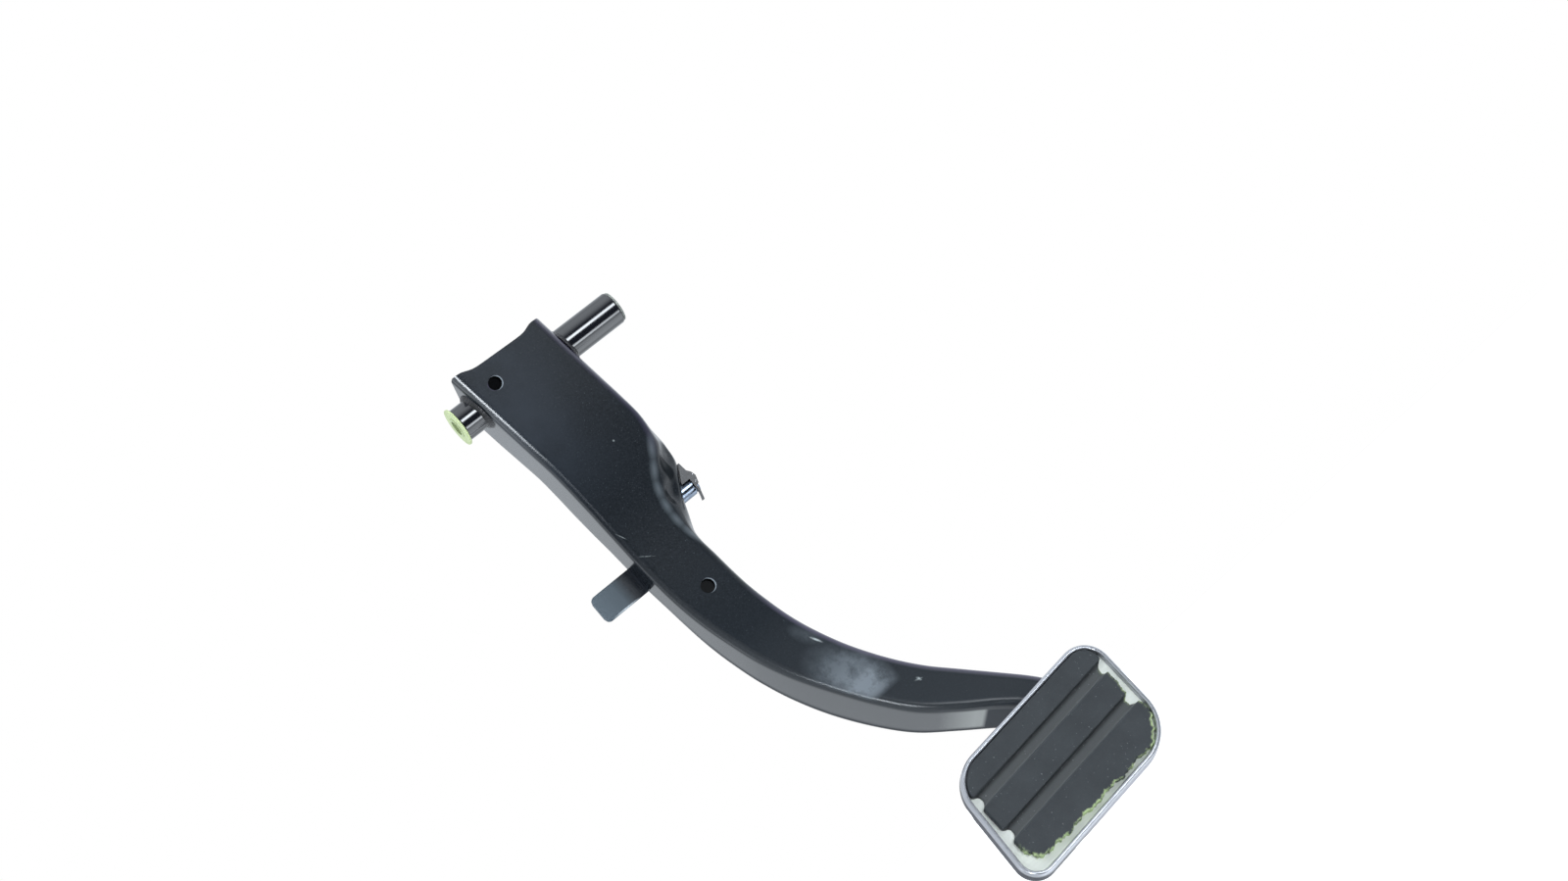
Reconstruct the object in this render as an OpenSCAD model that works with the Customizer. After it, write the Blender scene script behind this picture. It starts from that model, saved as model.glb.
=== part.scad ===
// Suspended brake pedal: pressed channel arm, cross tube in bushes, pushrod pin
// and clip, and a foot pad with a trim tray and a rubber insert.
// Origin on the pivot axis, +X to the driver's right, +Y forward, +Z up, in mm.

/* [Arm] */
// Thickness of the pressed sheet
sheet = 2.5; // [1.8:0.1:3.2]
// Outer radius of the two long folds
fold_r = 4.5; // [3.5:0.1:6]
// From the pivot axis forward face to the front of the web
web_ahead = 13; // [12.6:0.1:16]
// Level below the pivot where the bend toward the driver starts
bend_start = 70; // [60:1:90]
// Level where the bend ends
bend_end = 185; // [150:1:200]
// Angle of the bend
bend_angle = 25; // [10:1:35]
// Lean of the whole pedal, which hangs with its weight under the pivot
hang_angle = 13.3; // [0:0.5:20]
// Slope of the parallel upper part against straight down
band_slope = 9.6; // [4:0.1:14]
// Width of the parallel upper part, over both flanges
band_width = 53.4; // [48:0.1:60]
// Depth of the upper flanges behind the web's front
band_depth = 37; // [34:0.5:44]
// Level of the top edge, measured up from the pivot
top_edge = 15.1; // [14:0.1:20]
// How far the two fold corners rise above the top edge
ear_rise = 2.3; // [0:0.1:6]
// Tilt of the top edge, lower on the right, degrees
top_tilt = 1.7; // [0:0.1:4]
// How far the pivot axis lies below the arm's level zero
pivot_drop = 2.4; // [0:0.1:4]
// Diameter of the upper tooling hole in the web
upper_hole_d = 7; // [4:0.1:10]
// Diameter of the lower tooling hole in the web
lower_hole_d = 7.3; // [4:0.1:10]
// Depth of the dimples pressed in the flared flange
dimple_depth = 1.6; // [0:0.1:2.4]

/* [Switch lug] */
// Reach of the lug from the left flange
lug_reach = 26; // [15:0.5:35]
// Width of the lug along the arm
lug_width = 15.3; // [10:0.1:20]
// Level of the lug's middle below the pivot
lug_level = 114.5; // [108:0.5:125]
// Radius of the lug's free corners
lug_corner_r = 3; // [1:0.1:6]
// Inner radius of the fold at the lug's root
lug_fold_r = 2; // [1:0.1:4]
// Depth of the lug's driver-facing side behind the web's front
lug_face_depth = 23.5; // [20:0.1:28]

/* [Pivot] */
// Length of the cross tube
tube_length = 100; // [90:1:130]
// Outer diameter of the cross tube
tube_d = 18; // [15:0.1:19]
// Wall of the cross tube
tube_wall = 2; // [1.5:0.1:3]
// Chamfer on the cross tube's ends
tube_chamfer = 0.6; // [0.2:0.1:1]
// Diameter of the bush flange
bush_flange_d = 21; // [19:0.1:24]
// Thickness of the bush flange
bush_flange = 1.2; // [0.8:0.1:2]
// Length of the bush inside the tube
bush_length = 18; // [8:0.5:30]
// Wall of the bush inside the tube
bush_wall = 1.45; // [1:0.05:1.8]
// Bore of the distance sleeve
sleeve_bore_d = 8.2; // [6:0.1:8.6]
// How far the sleeve stands out of each bush
sleeve_proud = 0.3; // [0.1:0.1:1]
// Leg of the welds round the tube
tube_weld_leg = 2.2; // [1.5:0.1:3.4]

/* [Pushrod pin] */
// Diameter of the pin
pin_d = 10.2; // [8:0.1:11]
// Level of the pin below the pivot
pin_level = 96; // [94:0.5:99]
// Depth of the pin's axis behind the web's front
pin_depth = 20; // [19:0.1:21]
// From the pin's root plane to the groove
pin_reach = 7.5; // [7:0.1:12]
// How far the pin stands inside the channel
pin_inside = 3; // [2:0.1:5]
// Width of the pin's groove
groove_width = 1.4; // [1:0.1:2]
// Depth of the pin's groove
groove_depth = 1.2; // [0.8:0.1:2]
// Thickness of the pin's end beyond the groove
pin_cap = 1.1; // [0.8:0.1:2]
// Leg of the weld round the pin, inside the channel
pin_weld_leg = 2.2; // [1:0.1:3]

/* [Clip] */
// Sheet of the clip
clip_sheet = 1.1; // [0.8:0.1:1.2]
// Width of the clip
clip_width = 12; // [11.4:0.1:15]
// Rise of the clip's bridge above the pin's axis
clip_rise = 12.7; // [11:0.1:14]
// How far the clip's nose stands past the pin's end
clip_nose = 1.5; // [1:0.1:3]
// Drop of the clip's legs below the pin's axis
clip_drop = 4.5; // [4:0.1:7]
// Outward run of the clip's tail
tail_run = 1.5; // [0.5:0.1:3]
// Drop of the clip's tail
tail_drop = 5.1; // [2:0.1:7]

/* [Pad] */
// Length of the pad's upper side
pad_top = 103.3; // [92:0.1:112]
// Length of the pad's lower side
pad_bottom = 106.9; // [96:0.1:118]
// Height of the pad
pad_height = 65.5; // [58:0.5:72]
// How far the lower side lies to the left of the upper side
pad_skew = 10.9; // [0:0.1:14]
// Rise of the long sides to the right
pad_roll = 5.5; // [0:0.5:10]
// Centre of the pad to the right of the pivot's middle
pad_x = 61.2; // [55:0.1:67]
// Level of the pad's centre along the arm
pad_level = 321.3; // [315:0.1:328]
// Thickness of the steel plate behind the pad
plate_sheet = 3; // [2:0.1:4]
// Sheet of the trim tray
tray_sheet = 1.2; // [0.6:0.1:1.6]
// Height of the tray's rim above its floor
rim_height = 3.3; // [2:0.1:5]
// Width of the tray's rim
rim_width = 3; // [2:0.1:4.5]
// Depth of the tray's skirt behind its floor's back
skirt_depth = 4.5; // [3.2:0.1:8]
// Thickness of the rubber insert
rubber_height = 3.6; // [2:0.1:6]
// Width of the floor left bare along the worn lower side
worn_margin = 5; // [3:0.1:10]
// Depth of the grooves in the rubber
rubber_groove_depth = 2.2; // [1:0.1:3]
// Width of the grooves in the rubber
rubber_groove_width = 6.2; // [3:0.1:9]
// Distance between the two grooves
rubber_groove_pitch = 20.5; // [14:0.5:24]
// Height of the grooves' middle over the pad's middle
rubber_groove_shift = 4; // [0:0.5:6]
// Radius of the two weld beads behind the plate
bead_r = 1.5; // [0.8:0.1:2]
// Length of the two weld beads
bead_length = 10; // [5:0.5:12]

/* [Fits] */
// Clearance of the sleeve in the bushes, on the radius
run_gap = 0.05; // [0.02:0.01:0.1]
// Clearance of pressed and welded seats, on the radius
seat_gap = 0.02; // [0.01:0.01:0.05]
// Gap where a sprung or laid piece meets its seat
rest_gap = 0.2; // [0.1:0.05:0.3]

/* [Hidden] */
$fn = 64;
tube_r = tube_d / 2;
tube_bore_r = tube_r - tube_wall;
bush_r = tube_bore_r - seat_gap;
bush_bore_r = bush_r - bush_wall;
sleeve_r = bush_bore_r - run_gap;
sleeve_length = tube_length + 2 * (bush_flange + sleeve_proud);
pin_r = pin_d / 2;
bend_radius = (bend_end - bend_start) * 180 / (bend_angle * PI);

// The arm's own coordinates: x to the right, level down the arm, depth behind it

function lean(level) =
    level < bend_start ? 0
    : level > bend_end ? bend_angle
    : (level - bend_start) / bend_radius * 180 / PI;
function run_out(level) = max(0, level - bend_end);
function arm_y(level) =
    -web_ahead - bend_radius * (1 - cos(lean(level)))
    - run_out(level) * sin(bend_angle);
function arm_z(level) =
    pivot_drop - min(level, bend_start) - bend_radius * sin(lean(level))
    - run_out(level) * cos(bend_angle);
function on_arm(x, level, depth) = [
    x,
    arm_y(level) + depth * cos(lean(level)),
    arm_z(level) - depth * sin(lean(level))
];

// Places its children at a point of the arm, with Y behind the web and Z up the arm.
module at_arm(x, level, depth) {
    translate(on_arm(x, level, depth)) rotate([-lean(level), 0, 0]) children();
}

module hung() {
    rotate([hang_angle, 0, 0]) children();
}

// Lays a solid that was made along Z out along X.
module along_x() {
    rotate([0, 90, 0]) children();
}

// Rows of the pressing: left corner x and level, turn, width, depth, flare

left_at_zero = -38.3;
band_rise = tan(band_slope);
function band_row(level, depth) =
    [left_at_zero + band_rise * level, level, band_slope, band_width, depth, 0];
rows = [
    band_row(-9, band_depth),
    band_row(5.5, band_depth),
    band_row(20.5, band_depth - 0.5),
    band_row(35.5, band_depth - 2),
    band_row(48.5, band_depth - 3),
    [-28.7, 60.4, 7.3, band_width - 0.2, 34, 0.6],
    [-27.7, 71.4, 5.8, 49, 34, 5.5],
    [-27.1, 78.4, 4.8, 43, 33, 11.8],
    [-26.6, 86.4, 3.8, 36, 31, 17],
    [-26, 96.4, 2.8, 32.6, 28, 13],
    [-25.4, 108.4, 2.8, 31.2, 26, 8.3],
    [-24.7, 120.4, 3.3, 32.4, 25, 1.5],
    [-23.7, 132.4, 4.3, 33, 23, 0],
    [-22.2, 144.3, 5.8, 32.4, 24, 0],
    [-20, 156.3, 8.8, 31.4, 27, 0],
    [-16.9, 169.3, 12.3, 30.4, 29.5, 0],
    [-12.3, 186.2, 16.8, 29.4, 30.5, 0],
    [-5.6, 203.1, 22.8, 28, 33.5, 0],
    [4.1, 221.5, 28.3, 26.2, 36.5, 0],
    [15.8, 240.8, 33.8, 25.4, 35.5, 0],
    [28.2, 257.2, 39.8, 24.8, 33.5, 0],
    [43.3, 270.2, 45.3, 22.2, 32.5, 0],
    [59.5, 282.5, 46.8, 18.5, 33, 0],
    [70.6, 293.1, 36.8, 17, 31, 0],
    [77.4, 304, 22.8, 17.2, 28, 0],
    [81.9, 315.9, 20.8, 17.5, 24, 0],
    [86.5, 327.9, 20.8, 17.5, 20, 0]
];
last_row = len(rows) - 1;

// Smooth curve through the rows, with straight ends.
function row(i) =
    i < 0 ? 2 * rows[0] - rows[1]
    : i > last_row ? 2 * rows[last_row] - rows[last_row - 1]
    : rows[i];
function through(a, b, c, d, t) =
    0.5 * (2 * b + (c - a) * t + (2 * a - 5 * b + 4 * c - d) * t * t
    + (3 * b - a - 3 * c + d) * t * t * t);
function station(t) =
    let (i = min(floor(t), last_row - 1), f = t - i)
    through(row(i - 1), row(i), row(i + 1), row(i + 2), f);

// Section of the pressing: u across from the left corner, b behind the web

flat_from = 14;
flange_marks = [1, 0.66, 0.33];
fold_marks = [90, 67.5, 45, 22.5, 0];
web_marks = [0.1, 0.3, 0.5, 0.7, 0.9];
flare_marks = [0.12, 0.24, 0.38, 0.55, 0.78, 1];

function flare_curve(b) = b >= flat_from ? 1 : sin(90 * b / flat_from);
function left_path(v) = concat(
    [for (m = flange_marks) [0, fold_r + (v[4] - fold_r) * m]],
    [for (a = fold_marks) [fold_r * (1 - sin(a)), fold_r * (1 - cos(a))]]
);
function web_path(v) = [for (m = web_marks) [fold_r + (v[3] - 2 * fold_r) * m, 0]];
function right_path(v) = concat(
    [for (i = [4:-1:0]) let (a = fold_marks[i])
        [v[3] - fold_r * (1 - sin(a)), fold_r * (1 - cos(a))]],
    [for (m = flare_marks) [v[3], fold_r + (v[4] - fold_r) * m]]
);

// Two dimples in the sloping part of the flare, by level and depth.
dimples = [[81.2, 8, 5.5, 4.5], [94.2, 5, 5, 3]];
function dimple(level, b) = dimple_depth * (
    exp(-pow((level - dimples[0][0]) / dimples[0][2], 2)
        - pow((b - dimples[0][1]) / dimples[0][3], 2))
    + exp(-pow((level - dimples[1][0]) / dimples[1][2], 2)
        - pow((b - dimples[1][1]) / dimples[1][3], 2)));
function flared(v, p) = [
    p[0] + v[5] * flare_curve(p[1]) - (v[5] > 2 ? 0.6 * dimple(v[1], p[1]) : 0),
    p[1] + (v[5] > 2 ? 0.8 * dimple(v[1], p[1]) : 0)
];
function outer_path(v) = concat(
    left_path(v), web_path(v), [for (p = right_path(v)) flared(v, p)]
);
function unit(p) = p / norm(p);
function inner_path(v) =
    let (path = outer_path(v), n = len(path) - 1)
    [for (i = [0:n])
        let (t = unit(path[min(i + 1, n)] - path[max(i - 1, 0)]))
        path[i] + sheet * [-t[1], t[0]]];

// The top edge: level across the web, raised at the folds, sloping back on the flanges.
ear_width = 5;
edge_slope = 0.52;
function top_level(v, p) =
    let (from_fold = max(0, min(p[0], v[3] - p[0]) - fold_r))
    -top_edge - ear_rise * exp(-pow(from_fold / ear_width, 2))
    + (p[0] - v[3] / 2) * tan(top_tilt) + edge_slope * max(0, p[1] - fold_r / 3);
straight_rows = 3;
steps = 3;

function place(t, p) =
    let (
        v = station(t),
        level = v[1] - p[0] * sin(v[2]),
        stretch = max(0, 1 - t / straight_rows),
        shift = stretch * (top_level(v, p) - level + v[1] - rows[0][1]) / cos(v[2])
    )
    on_arm(
        v[0] + p[0] * cos(v[2]) + shift * sin(v[2]),
        level + shift * cos(v[2]),
        p[1]
    );

module pressing() {
    count = last_row * steps;
    half = len(outer_path(station(0)));
    points = [
        for (k = [0:count])
            let (t = k / steps, v = station(t), outside = outer_path(v), inside = inner_path(v))
            each concat(
                [for (p = outside) place(t, p)],
                [for (i = [half - 1:-1:0]) place(t, inside[i])]
            )
    ];
    ring = 2 * half;
    sides = [
        for (k = [0:count - 1], j = [0:ring - 1])
            let (a = k * ring + j, b = k * ring + (j + 1) % ring)
            each [[a, b, b + ring], [a, b + ring, a + ring]]
    ];
    start = [
        for (j = [0:half - 2])
            let (a = j, b = ring - 1 - j)
            each [[a, b, b - 1], [a, b - 1, a + 1]]
    ];
    finish = [
        for (j = [0:half - 2])
            let (a = count * ring + j, b = count * ring + ring - 1 - j)
            each [[a, a + 1, b - 1], [a, b - 1, b]]
    ];
    polyhedron(points, concat(sides, start, finish), convexity = 10);
}

// Rounded outlines

// Points of an outline with straight sides, each side moved in by its own inset
// and each corner rounded by its own radius. Corners run anticlockwise.
arc_steps = 9;
function turned(v) = [-v[1], v[0]];
function moved_corner(c, ins, i) =
    let (
        n = len(c),
        p = c[i],
        before = unit(p - c[(i + n - 1) % n]),
        after = unit(c[(i + 1) % n] - p),
        a = p + turned(before) * ins[(i + n - 1) % n],
        b = p + turned(after) * ins[i],
        cross_ab = before[0] * after[1] - before[1] * after[0],
        gap = b - a
    )
    a + before * (gap[0] * after[1] - gap[1] * after[0]) / cross_ab;
function rounded(c, radii, ins) =
    let (n = len(c), moved = [for (i = [0:n - 1]) moved_corner(c, ins, i)])
    [for (i = [0:n - 1])
        let (
            before = unit(moved[i] - moved[(i + n - 1) % n]),
            after = unit(moved[(i + 1) % n] - moved[i]),
            turn = acos(before * after),
            r = max(0.8, radii[i] - (ins[i] + ins[(i + n - 1) % n]) / 2),
            centre = moved[i] - before * r * tan(turn / 2) + turned(before) * r,
            from = atan2(-turned(before)[1], -turned(before)[0])
        )
        for (k = [0:arc_steps])
            centre + r * [cos(from + turn * k / arc_steps), sin(from + turn * k / arc_steps)]
    ];

// The arm

module web_hole(x, level, d) {
    at_arm(x, level, 0) rotate([90, 0, 0])
        cylinder(d = d, h = 6 * sheet, center = true);
}

lug_fold_depth = lug_face_depth - lug_fold_r;
lug_root = -22.6;
lug_face_x = lug_root - sheet;

// Lug folded out of the left flange: a quarter fold, then a plate with round corners.
module switch_lug() {
    plate_from = lug_face_x - lug_fold_r;
    plate_to = lug_face_x - lug_reach;
    corners = [
        [plate_to, -lug_width / 2], [plate_from, -lug_width / 2],
        [plate_from, lug_width / 2], [plate_to, lug_width / 2]
    ];
    at_arm(0, lug_level, 0) {
        translate([plate_from, lug_fold_depth, -lug_width / 2])
            rotate_extrude(angle = 90) translate([lug_fold_r, 0]) square([sheet, lug_width]);
        translate([0, lug_fold_depth + lug_fold_r + sheet, 0]) rotate([90, 0, 0])
            linear_extrude(sheet)
                polygon(rounded(corners, [lug_corner_r, 0, 0, lug_corner_r], [0, 0, 0, 0]));
        translate([lug_face_x, lug_fold_depth - 2 * sheet, -lug_width / 2])
            cube([sheet, 2 * sheet, lug_width]);
    }
}

module arm_pressing() {
    color([0.16, 0.17, 0.19]) hung() difference() {
        union() {
            pressing();
            switch_lug();
        }
        web_hole(-25.1, -3.6, upper_hole_d);
        web_hole(-5.6, 140.5, lower_hole_d);
        along_x() cylinder(r = tube_r + seat_gap, h = 2 * tube_length, center = true);
        at_arm(0, pin_level, pin_depth) along_x()
            cylinder(r = pin_r + seat_gap, h = tube_length / 2);
    }
}

// The pivot

module pivot_tube() {
    half = tube_length / 2;
    c = tube_chamfer;
    color([0.1, 0.1, 0.11]) hung() along_x() rotate_extrude() polygon([
        [tube_bore_r, -half], [tube_r - c, -half], [tube_r, -half + c],
        [tube_r, half - c], [tube_r - c, half], [tube_bore_r, half]
    ]);
}

// Where the flanges' outer faces meet the pivot axis.
left_at_pivot = left_at_zero + band_rise * pivot_drop;
right_at_pivot = left_at_pivot + band_width / cos(band_slope);

// Weld ring on one flange: a cone round the tube, cut by the flange's slanting face.
module tube_weld(x, side) {
    size = 6 * tube_d;
    color([0.13, 0.13, 0.14]) hung() difference() {
        along_x() rotate_extrude() polygon([
            [tube_r + seat_gap, x - 2 * side * tube_weld_leg],
            [tube_r + seat_gap, x + side * 1.6 * tube_weld_leg],
            [tube_r + tube_weld_leg, x],
            [tube_r + tube_weld_leg, x - 2 * side * tube_weld_leg]
        ]);
        translate([x, 0, 0]) rotate([0, -band_slope, 0])
            translate([side > 0 ? -size : 0, -size / 2, -size / 2]) cube(size);
    }
}

module tube_weld_left() {
    tube_weld(left_at_pivot, -1);
}

module tube_weld_right() {
    tube_weld(right_at_pivot, 1);
}

// A bush in the tube's end. The left one has a wide flange, the right one ends flush.
module bush(side, flange_r) {
    color([0.8, 0.86, 0.56]) hung() mirror([side > 0 ? 0 : 1, 0, 0])
        translate([tube_length / 2, 0, 0]) along_x() rotate_extrude() polygon([
            [bush_bore_r, -bush_length], [bush_r, -bush_length], [bush_r, 0],
            [flange_r, 0], [flange_r, bush_flange],
            [bush_bore_r, bush_flange]
        ]);
}

module bush_left() {
    bush(-1, bush_flange_d / 2);
}

module bush_right() {
    bush(1, tube_r - tube_chamfer);
}

module pivot_sleeve() {
    color([0.7, 0.7, 0.72]) hung() along_x() difference() {
        cylinder(r = sleeve_r, h = sleeve_length, center = true);
        cylinder(d = sleeve_bore_d, h = 2 * sleeve_length, center = true);
    }
}

// The pushrod pin, its weld and its clip

pin_root = 18.8;
pin_slant = 29;
groove_at = pin_root + pin_reach;
groove_r = pin_r - groove_depth;
pin_back = pin_root - sheet / cos(pin_slant);
inside_end = pin_back - pin_inside;
cap_chamfer = 0.5;

cap_from = groove_at + groove_width;
cap_to = cap_from + pin_cap;

module pushrod_pin() {
    color([0.75, 0.8, 0.86]) hung() at_arm(0, pin_level, pin_depth) along_x()
        rotate_extrude() polygon([
            [0, inside_end], [pin_r, inside_end], [pin_r, groove_at],
            [groove_r, groove_at], [groove_r, cap_from], [pin_r, cap_from],
            [pin_r, cap_to - cap_chamfer], [pin_r - cap_chamfer, cap_to], [0, cap_to]
        ]);
}

module pin_weld() {
    back = pin_back - rest_gap;
    size = 6 * pin_d;
    color([0.13, 0.13, 0.14]) hung() at_arm(0, pin_level, pin_depth) difference() {
        along_x() rotate_extrude() polygon([
            [pin_r + seat_gap, back - 1.1 * pin_weld_leg],
            [pin_r + pin_weld_leg, back],
            [pin_r + pin_weld_leg, pin_root + 2 * pin_weld_leg],
            [pin_r + seat_gap, pin_root + 2 * pin_weld_leg]
        ]);
        translate([back, 0, 0]) rotate([0, pin_slant, 0])
            translate([0, -size / 2, -size / 2]) cube(size);
    }
}

// Profile of the clip in x and z about the pin's axis: a crown that starts along the
// flange and falls to a nose over the pin's end, then a leg in the groove with a tail.
clip_foot = pin_root + 4.5 * rest_gap;
clip_from = groove_at + (groove_width - clip_sheet) / 2;
clip_to = clip_from + clip_sheet;
clip_seat = 0.6 * pin_r;
module clip_profile() {
    top = clip_foot + clip_rise * tan(pin_slant);
    nose = cap_to + clip_nose;
    polygon([
        [clip_foot + clip_seat * tan(pin_slant), clip_seat],
        [top, clip_rise], [top + clip_sheet / 2, clip_rise],
        [cap_to - 0.9, 0.6 * clip_rise], [nose - 0.8, 0.43 * clip_rise],
        [nose, 0.22 * clip_rise], [cap_to + rest_gap, -0.1 * clip_rise],
        [clip_to, -0.1 * clip_rise], [clip_to, -clip_drop],
        [clip_to - tail_run, -clip_drop - tail_drop],
        [clip_from - tail_run, -clip_drop - tail_drop], [clip_from, -clip_drop],
        [clip_from, clip_seat]
    ]);
}

// The crown sits on the pin and the leg's two prongs straddle its groove. Only the
// front prong has a tail.
module pushrod_clip() {
    slot_r = groove_r + seat_gap;
    low = clip_drop + 2 * tail_drop;
    color([0.08, 0.08, 0.09]) hung() at_arm(0, pin_level, pin_depth) difference() {
        translate([0, clip_width / 2, 0]) rotate([90, 0, 0])
            linear_extrude(clip_width) clip_profile();
        along_x() cylinder(r = pin_r + seat_gap, h = clip_from);
        along_x() cylinder(r = slot_r, h = cap_to + rest_gap);
        translate([clip_to, 0, 0]) along_x()
            cylinder(r = pin_r + rest_gap, h = cap_to + rest_gap - clip_to);
        translate([clip_from - 2 * tail_run, -slot_r, -low])
            cube([cap_to + rest_gap - clip_from + 2 * tail_run, 2 * slot_r, low]);
        translate([clip_from - 2 * tail_run - clip_sheet, 0, -clip_drop - low])
            cube([4 * (tail_run + clip_sheet), clip_width, low]);
    }
}

// The pad

pad_corners = [
    [-pad_bottom / 2 - pad_skew / 2, -pad_height / 2],
    [pad_bottom / 2 - pad_skew / 2, -pad_height / 2],
    [pad_top / 2 + pad_skew / 2, pad_height / 2],
    [-pad_top / 2 + pad_skew / 2, pad_height / 2]
];
pad_radii = [11.5, 24.5, 14, 21];
tray_back = plate_sheet;
tray_floor = tray_back + tray_sheet;
rim_top = tray_floor + rim_height;

// Places its children at the pad's centre, with Z out toward the foot.
module at_pad() {
    at_arm(pad_x, pad_level, 0) rotate([90, 0, 0]) rotate([0, 0, pad_roll]) children();
}

module pad_plate() {
    inset = tray_sheet + rest_gap + 1;
    color([0.12, 0.12, 0.13]) hung() at_pad() linear_extrude(plate_sheet)
        polygon(rounded(pad_corners, pad_radii, [inset, inset, inset, inset]));
}

// Profile of the tray's edge as inset and height, from the outer foot over the rim
// to the floor, and back under the floor inside the skirt.
notch_half = 3.5;
notch_depth = 1.6;
notch_at = -24;
function skirt_foot(p) =
    p[1] > pad_height / 2 - pad_radii[3] ? rest_gap
    : p[1] < 0 && abs(p[0] - notch_at) < notch_half + 0.1 ? tray_back - skirt_depth + notch_depth
    : tray_back - skirt_depth;
rim_profile = [
    [0, "foot"], [0.1, tray_back], [0.25, rim_top - 1.6], [0.7, rim_top - 0.6],
    [1.4, rim_top - 0.1], [2.1, rim_top - 0.1], [2.7, rim_top - 0.7],
    [rim_width, tray_floor]
];
under_profile = [[tray_sheet + 0.1, tray_back], [tray_sheet, "foot"]];

module tray_shell() {
    function level_ring(inset, z) =
        [for (p = split_low(rounded(pad_corners, pad_radii, [for (i = [0:3]) inset])))
            [p[0], p[1], z == "foot" ? skirt_foot(p) : z]];
    edge = concat(rim_profile, under_profile);
    rings = [for (e = edge) level_ring(e[0], e[1])];
    n = len(rings[0]);
    m = len(edge);
    floor_top = len(rim_profile) - 1;
    middle = [0, 0, tray_floor];
    below = [0, 0, tray_back];
    points = concat([for (r = rings) each r], [middle, below]);
    walls = [
        for (k = [0:m - 1], j = [0:n - 1])
            if (k != floor_top)
                let (a = k * n + j, b = k * n + (j + 1) % n, up = (k + 1) % m)
                each [[a, up * n + j, up * n + (j + 1) % n], [a, up * n + (j + 1) % n, b]]
    ];
    top_fan = [for (j = [0:n - 1]) [floor_top * n + j, m * n, floor_top * n + (j + 1) % n]];
    low_fan = [
        for (j = [0:n - 1])
            [(floor_top + 1) * n + j, (floor_top + 1) * n + (j + 1) % n, m * n + 1]
    ];
    polyhedron(points, concat(walls, top_fan, low_fan), convexity = 6);
}

// Adds points along the lower side, so that the skirt can be notched there.
function split_low(outline) =
    let (
        first = arc_steps,
        a = outline[first],
        b = outline[first + 1],
        at = [for (x = [-notch_half - 1, -notch_half, notch_half, notch_half + 1])
            (notch_at + x - a[0]) / (b[0] - a[0])]
    )
    [for (i = [0:len(outline) - 1])
        each i == first ? concat([a], [for (f = at) a + (b - a) * f]) : [outline[i]]];

module pad_tray() {
    color([0.7, 0.7, 0.72]) hung() at_pad() tray_shell();
}

module pad_rubber() {
    inset = rim_width + rest_gap;
    outline = rounded(pad_corners, pad_radii,
        [rim_width + worn_margin - 1, inset + 1.5, inset, inset + 2.2]);
    color([0.2, 0.21, 0.23]) hung() at_pad() difference() {
        translate([0, 0, tray_floor]) linear_extrude(rubber_height) polygon(outline);
        for (y = [0.5, -0.5])
            translate([-pad_bottom, y * rubber_groove_pitch + rubber_groove_shift - rubber_groove_width / 2,
                tray_floor + rubber_height - rubber_groove_depth])
                cube([2 * pad_bottom, rubber_groove_width, rubber_groove_depth + 1]);
    }
}

// Two beads in the grooves between the plate's back and the arm's folds.
module pad_weld() {
    end = rows[last_row];
    out = 2 * sqrt(fold_r * bead_r) - fold_r;
    color([0.13, 0.13, 0.14]) hung()
        for (u = [-out, end[3] + out])
            at_arm(end[0] + u * cos(end[2]), end[1] - u * sin(end[2]), bead_r)
                rotate([0, -end[2], 0]) cylinder(r = bead_r - seat_gap, h = bead_length);
}

arm_pressing();
pivot_tube();
tube_weld_left();
tube_weld_right();
bush_left();
bush_right();
pivot_sleeve();
pushrod_pin();
pin_weld();
pushrod_clip();
pad_plate();
pad_weld();
pad_tray();
pad_rubber();
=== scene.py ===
# %% [markdown]
# # A suspended brake pedal
# The pedal hangs from a cross tube. One steel pressing, folded into a channel, runs from the
# tube down to the foot pad and bends toward the driver and to the right on its way. Every
# visible surface here is worked out with numpy as a function of two parameters, on the same
# rows and sizes as the solid model, only much finer, so that the light runs smoothly over it.

# %% Load the packed solids as a fixed frame
import math

import bpy
import numpy as np
from mathutils import Matrix, Vector


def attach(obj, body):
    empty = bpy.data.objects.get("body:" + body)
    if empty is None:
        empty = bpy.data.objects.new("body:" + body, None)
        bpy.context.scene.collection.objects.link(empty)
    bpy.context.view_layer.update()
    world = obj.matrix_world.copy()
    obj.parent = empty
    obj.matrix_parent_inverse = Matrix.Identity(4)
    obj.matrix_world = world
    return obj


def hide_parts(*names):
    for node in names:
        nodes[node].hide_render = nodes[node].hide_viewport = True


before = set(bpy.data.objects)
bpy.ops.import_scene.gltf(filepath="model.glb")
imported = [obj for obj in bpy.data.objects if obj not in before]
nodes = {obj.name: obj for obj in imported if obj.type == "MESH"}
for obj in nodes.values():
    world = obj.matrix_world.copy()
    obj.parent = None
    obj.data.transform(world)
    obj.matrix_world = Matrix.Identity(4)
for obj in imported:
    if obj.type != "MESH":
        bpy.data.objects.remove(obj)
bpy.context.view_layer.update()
MM = 0.001
print("nodes:", sorted(nodes))

# %% [markdown]
# ## The arm's own coordinates
# The pressing is easiest to describe unrolled: x to the right, level down along the arm, and
# depth behind the web. Above the bend the web stands upright, through the bend it leans more
# and more, and below it runs straight. The whole pedal then leans a little about the pivot,
# which is how it hangs by its own weight.

# %% From the arm's coordinates to space
WEB_AHEAD, BEND_START, BEND_END, BEND_ANGLE = 13.0, 70.0, 185.0, 25.0
HANG_ANGLE, PIVOT_DROP = 13.3, 2.4
BEND_RADIUS = (BEND_END - BEND_START) / math.radians(BEND_ANGLE)


def hang(points):
    """Turns points about the pivot axis by the hanging angle: y and z mix by cosine and sine."""
    c, s = math.cos(math.radians(HANG_ANGLE)), math.sin(math.radians(HANG_ANGLE))
    x, y, z = np.moveaxis(np.asarray(points, float), -1, 0)
    return np.stack([x, y * c - z * s, y * s + z * c], -1)


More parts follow.
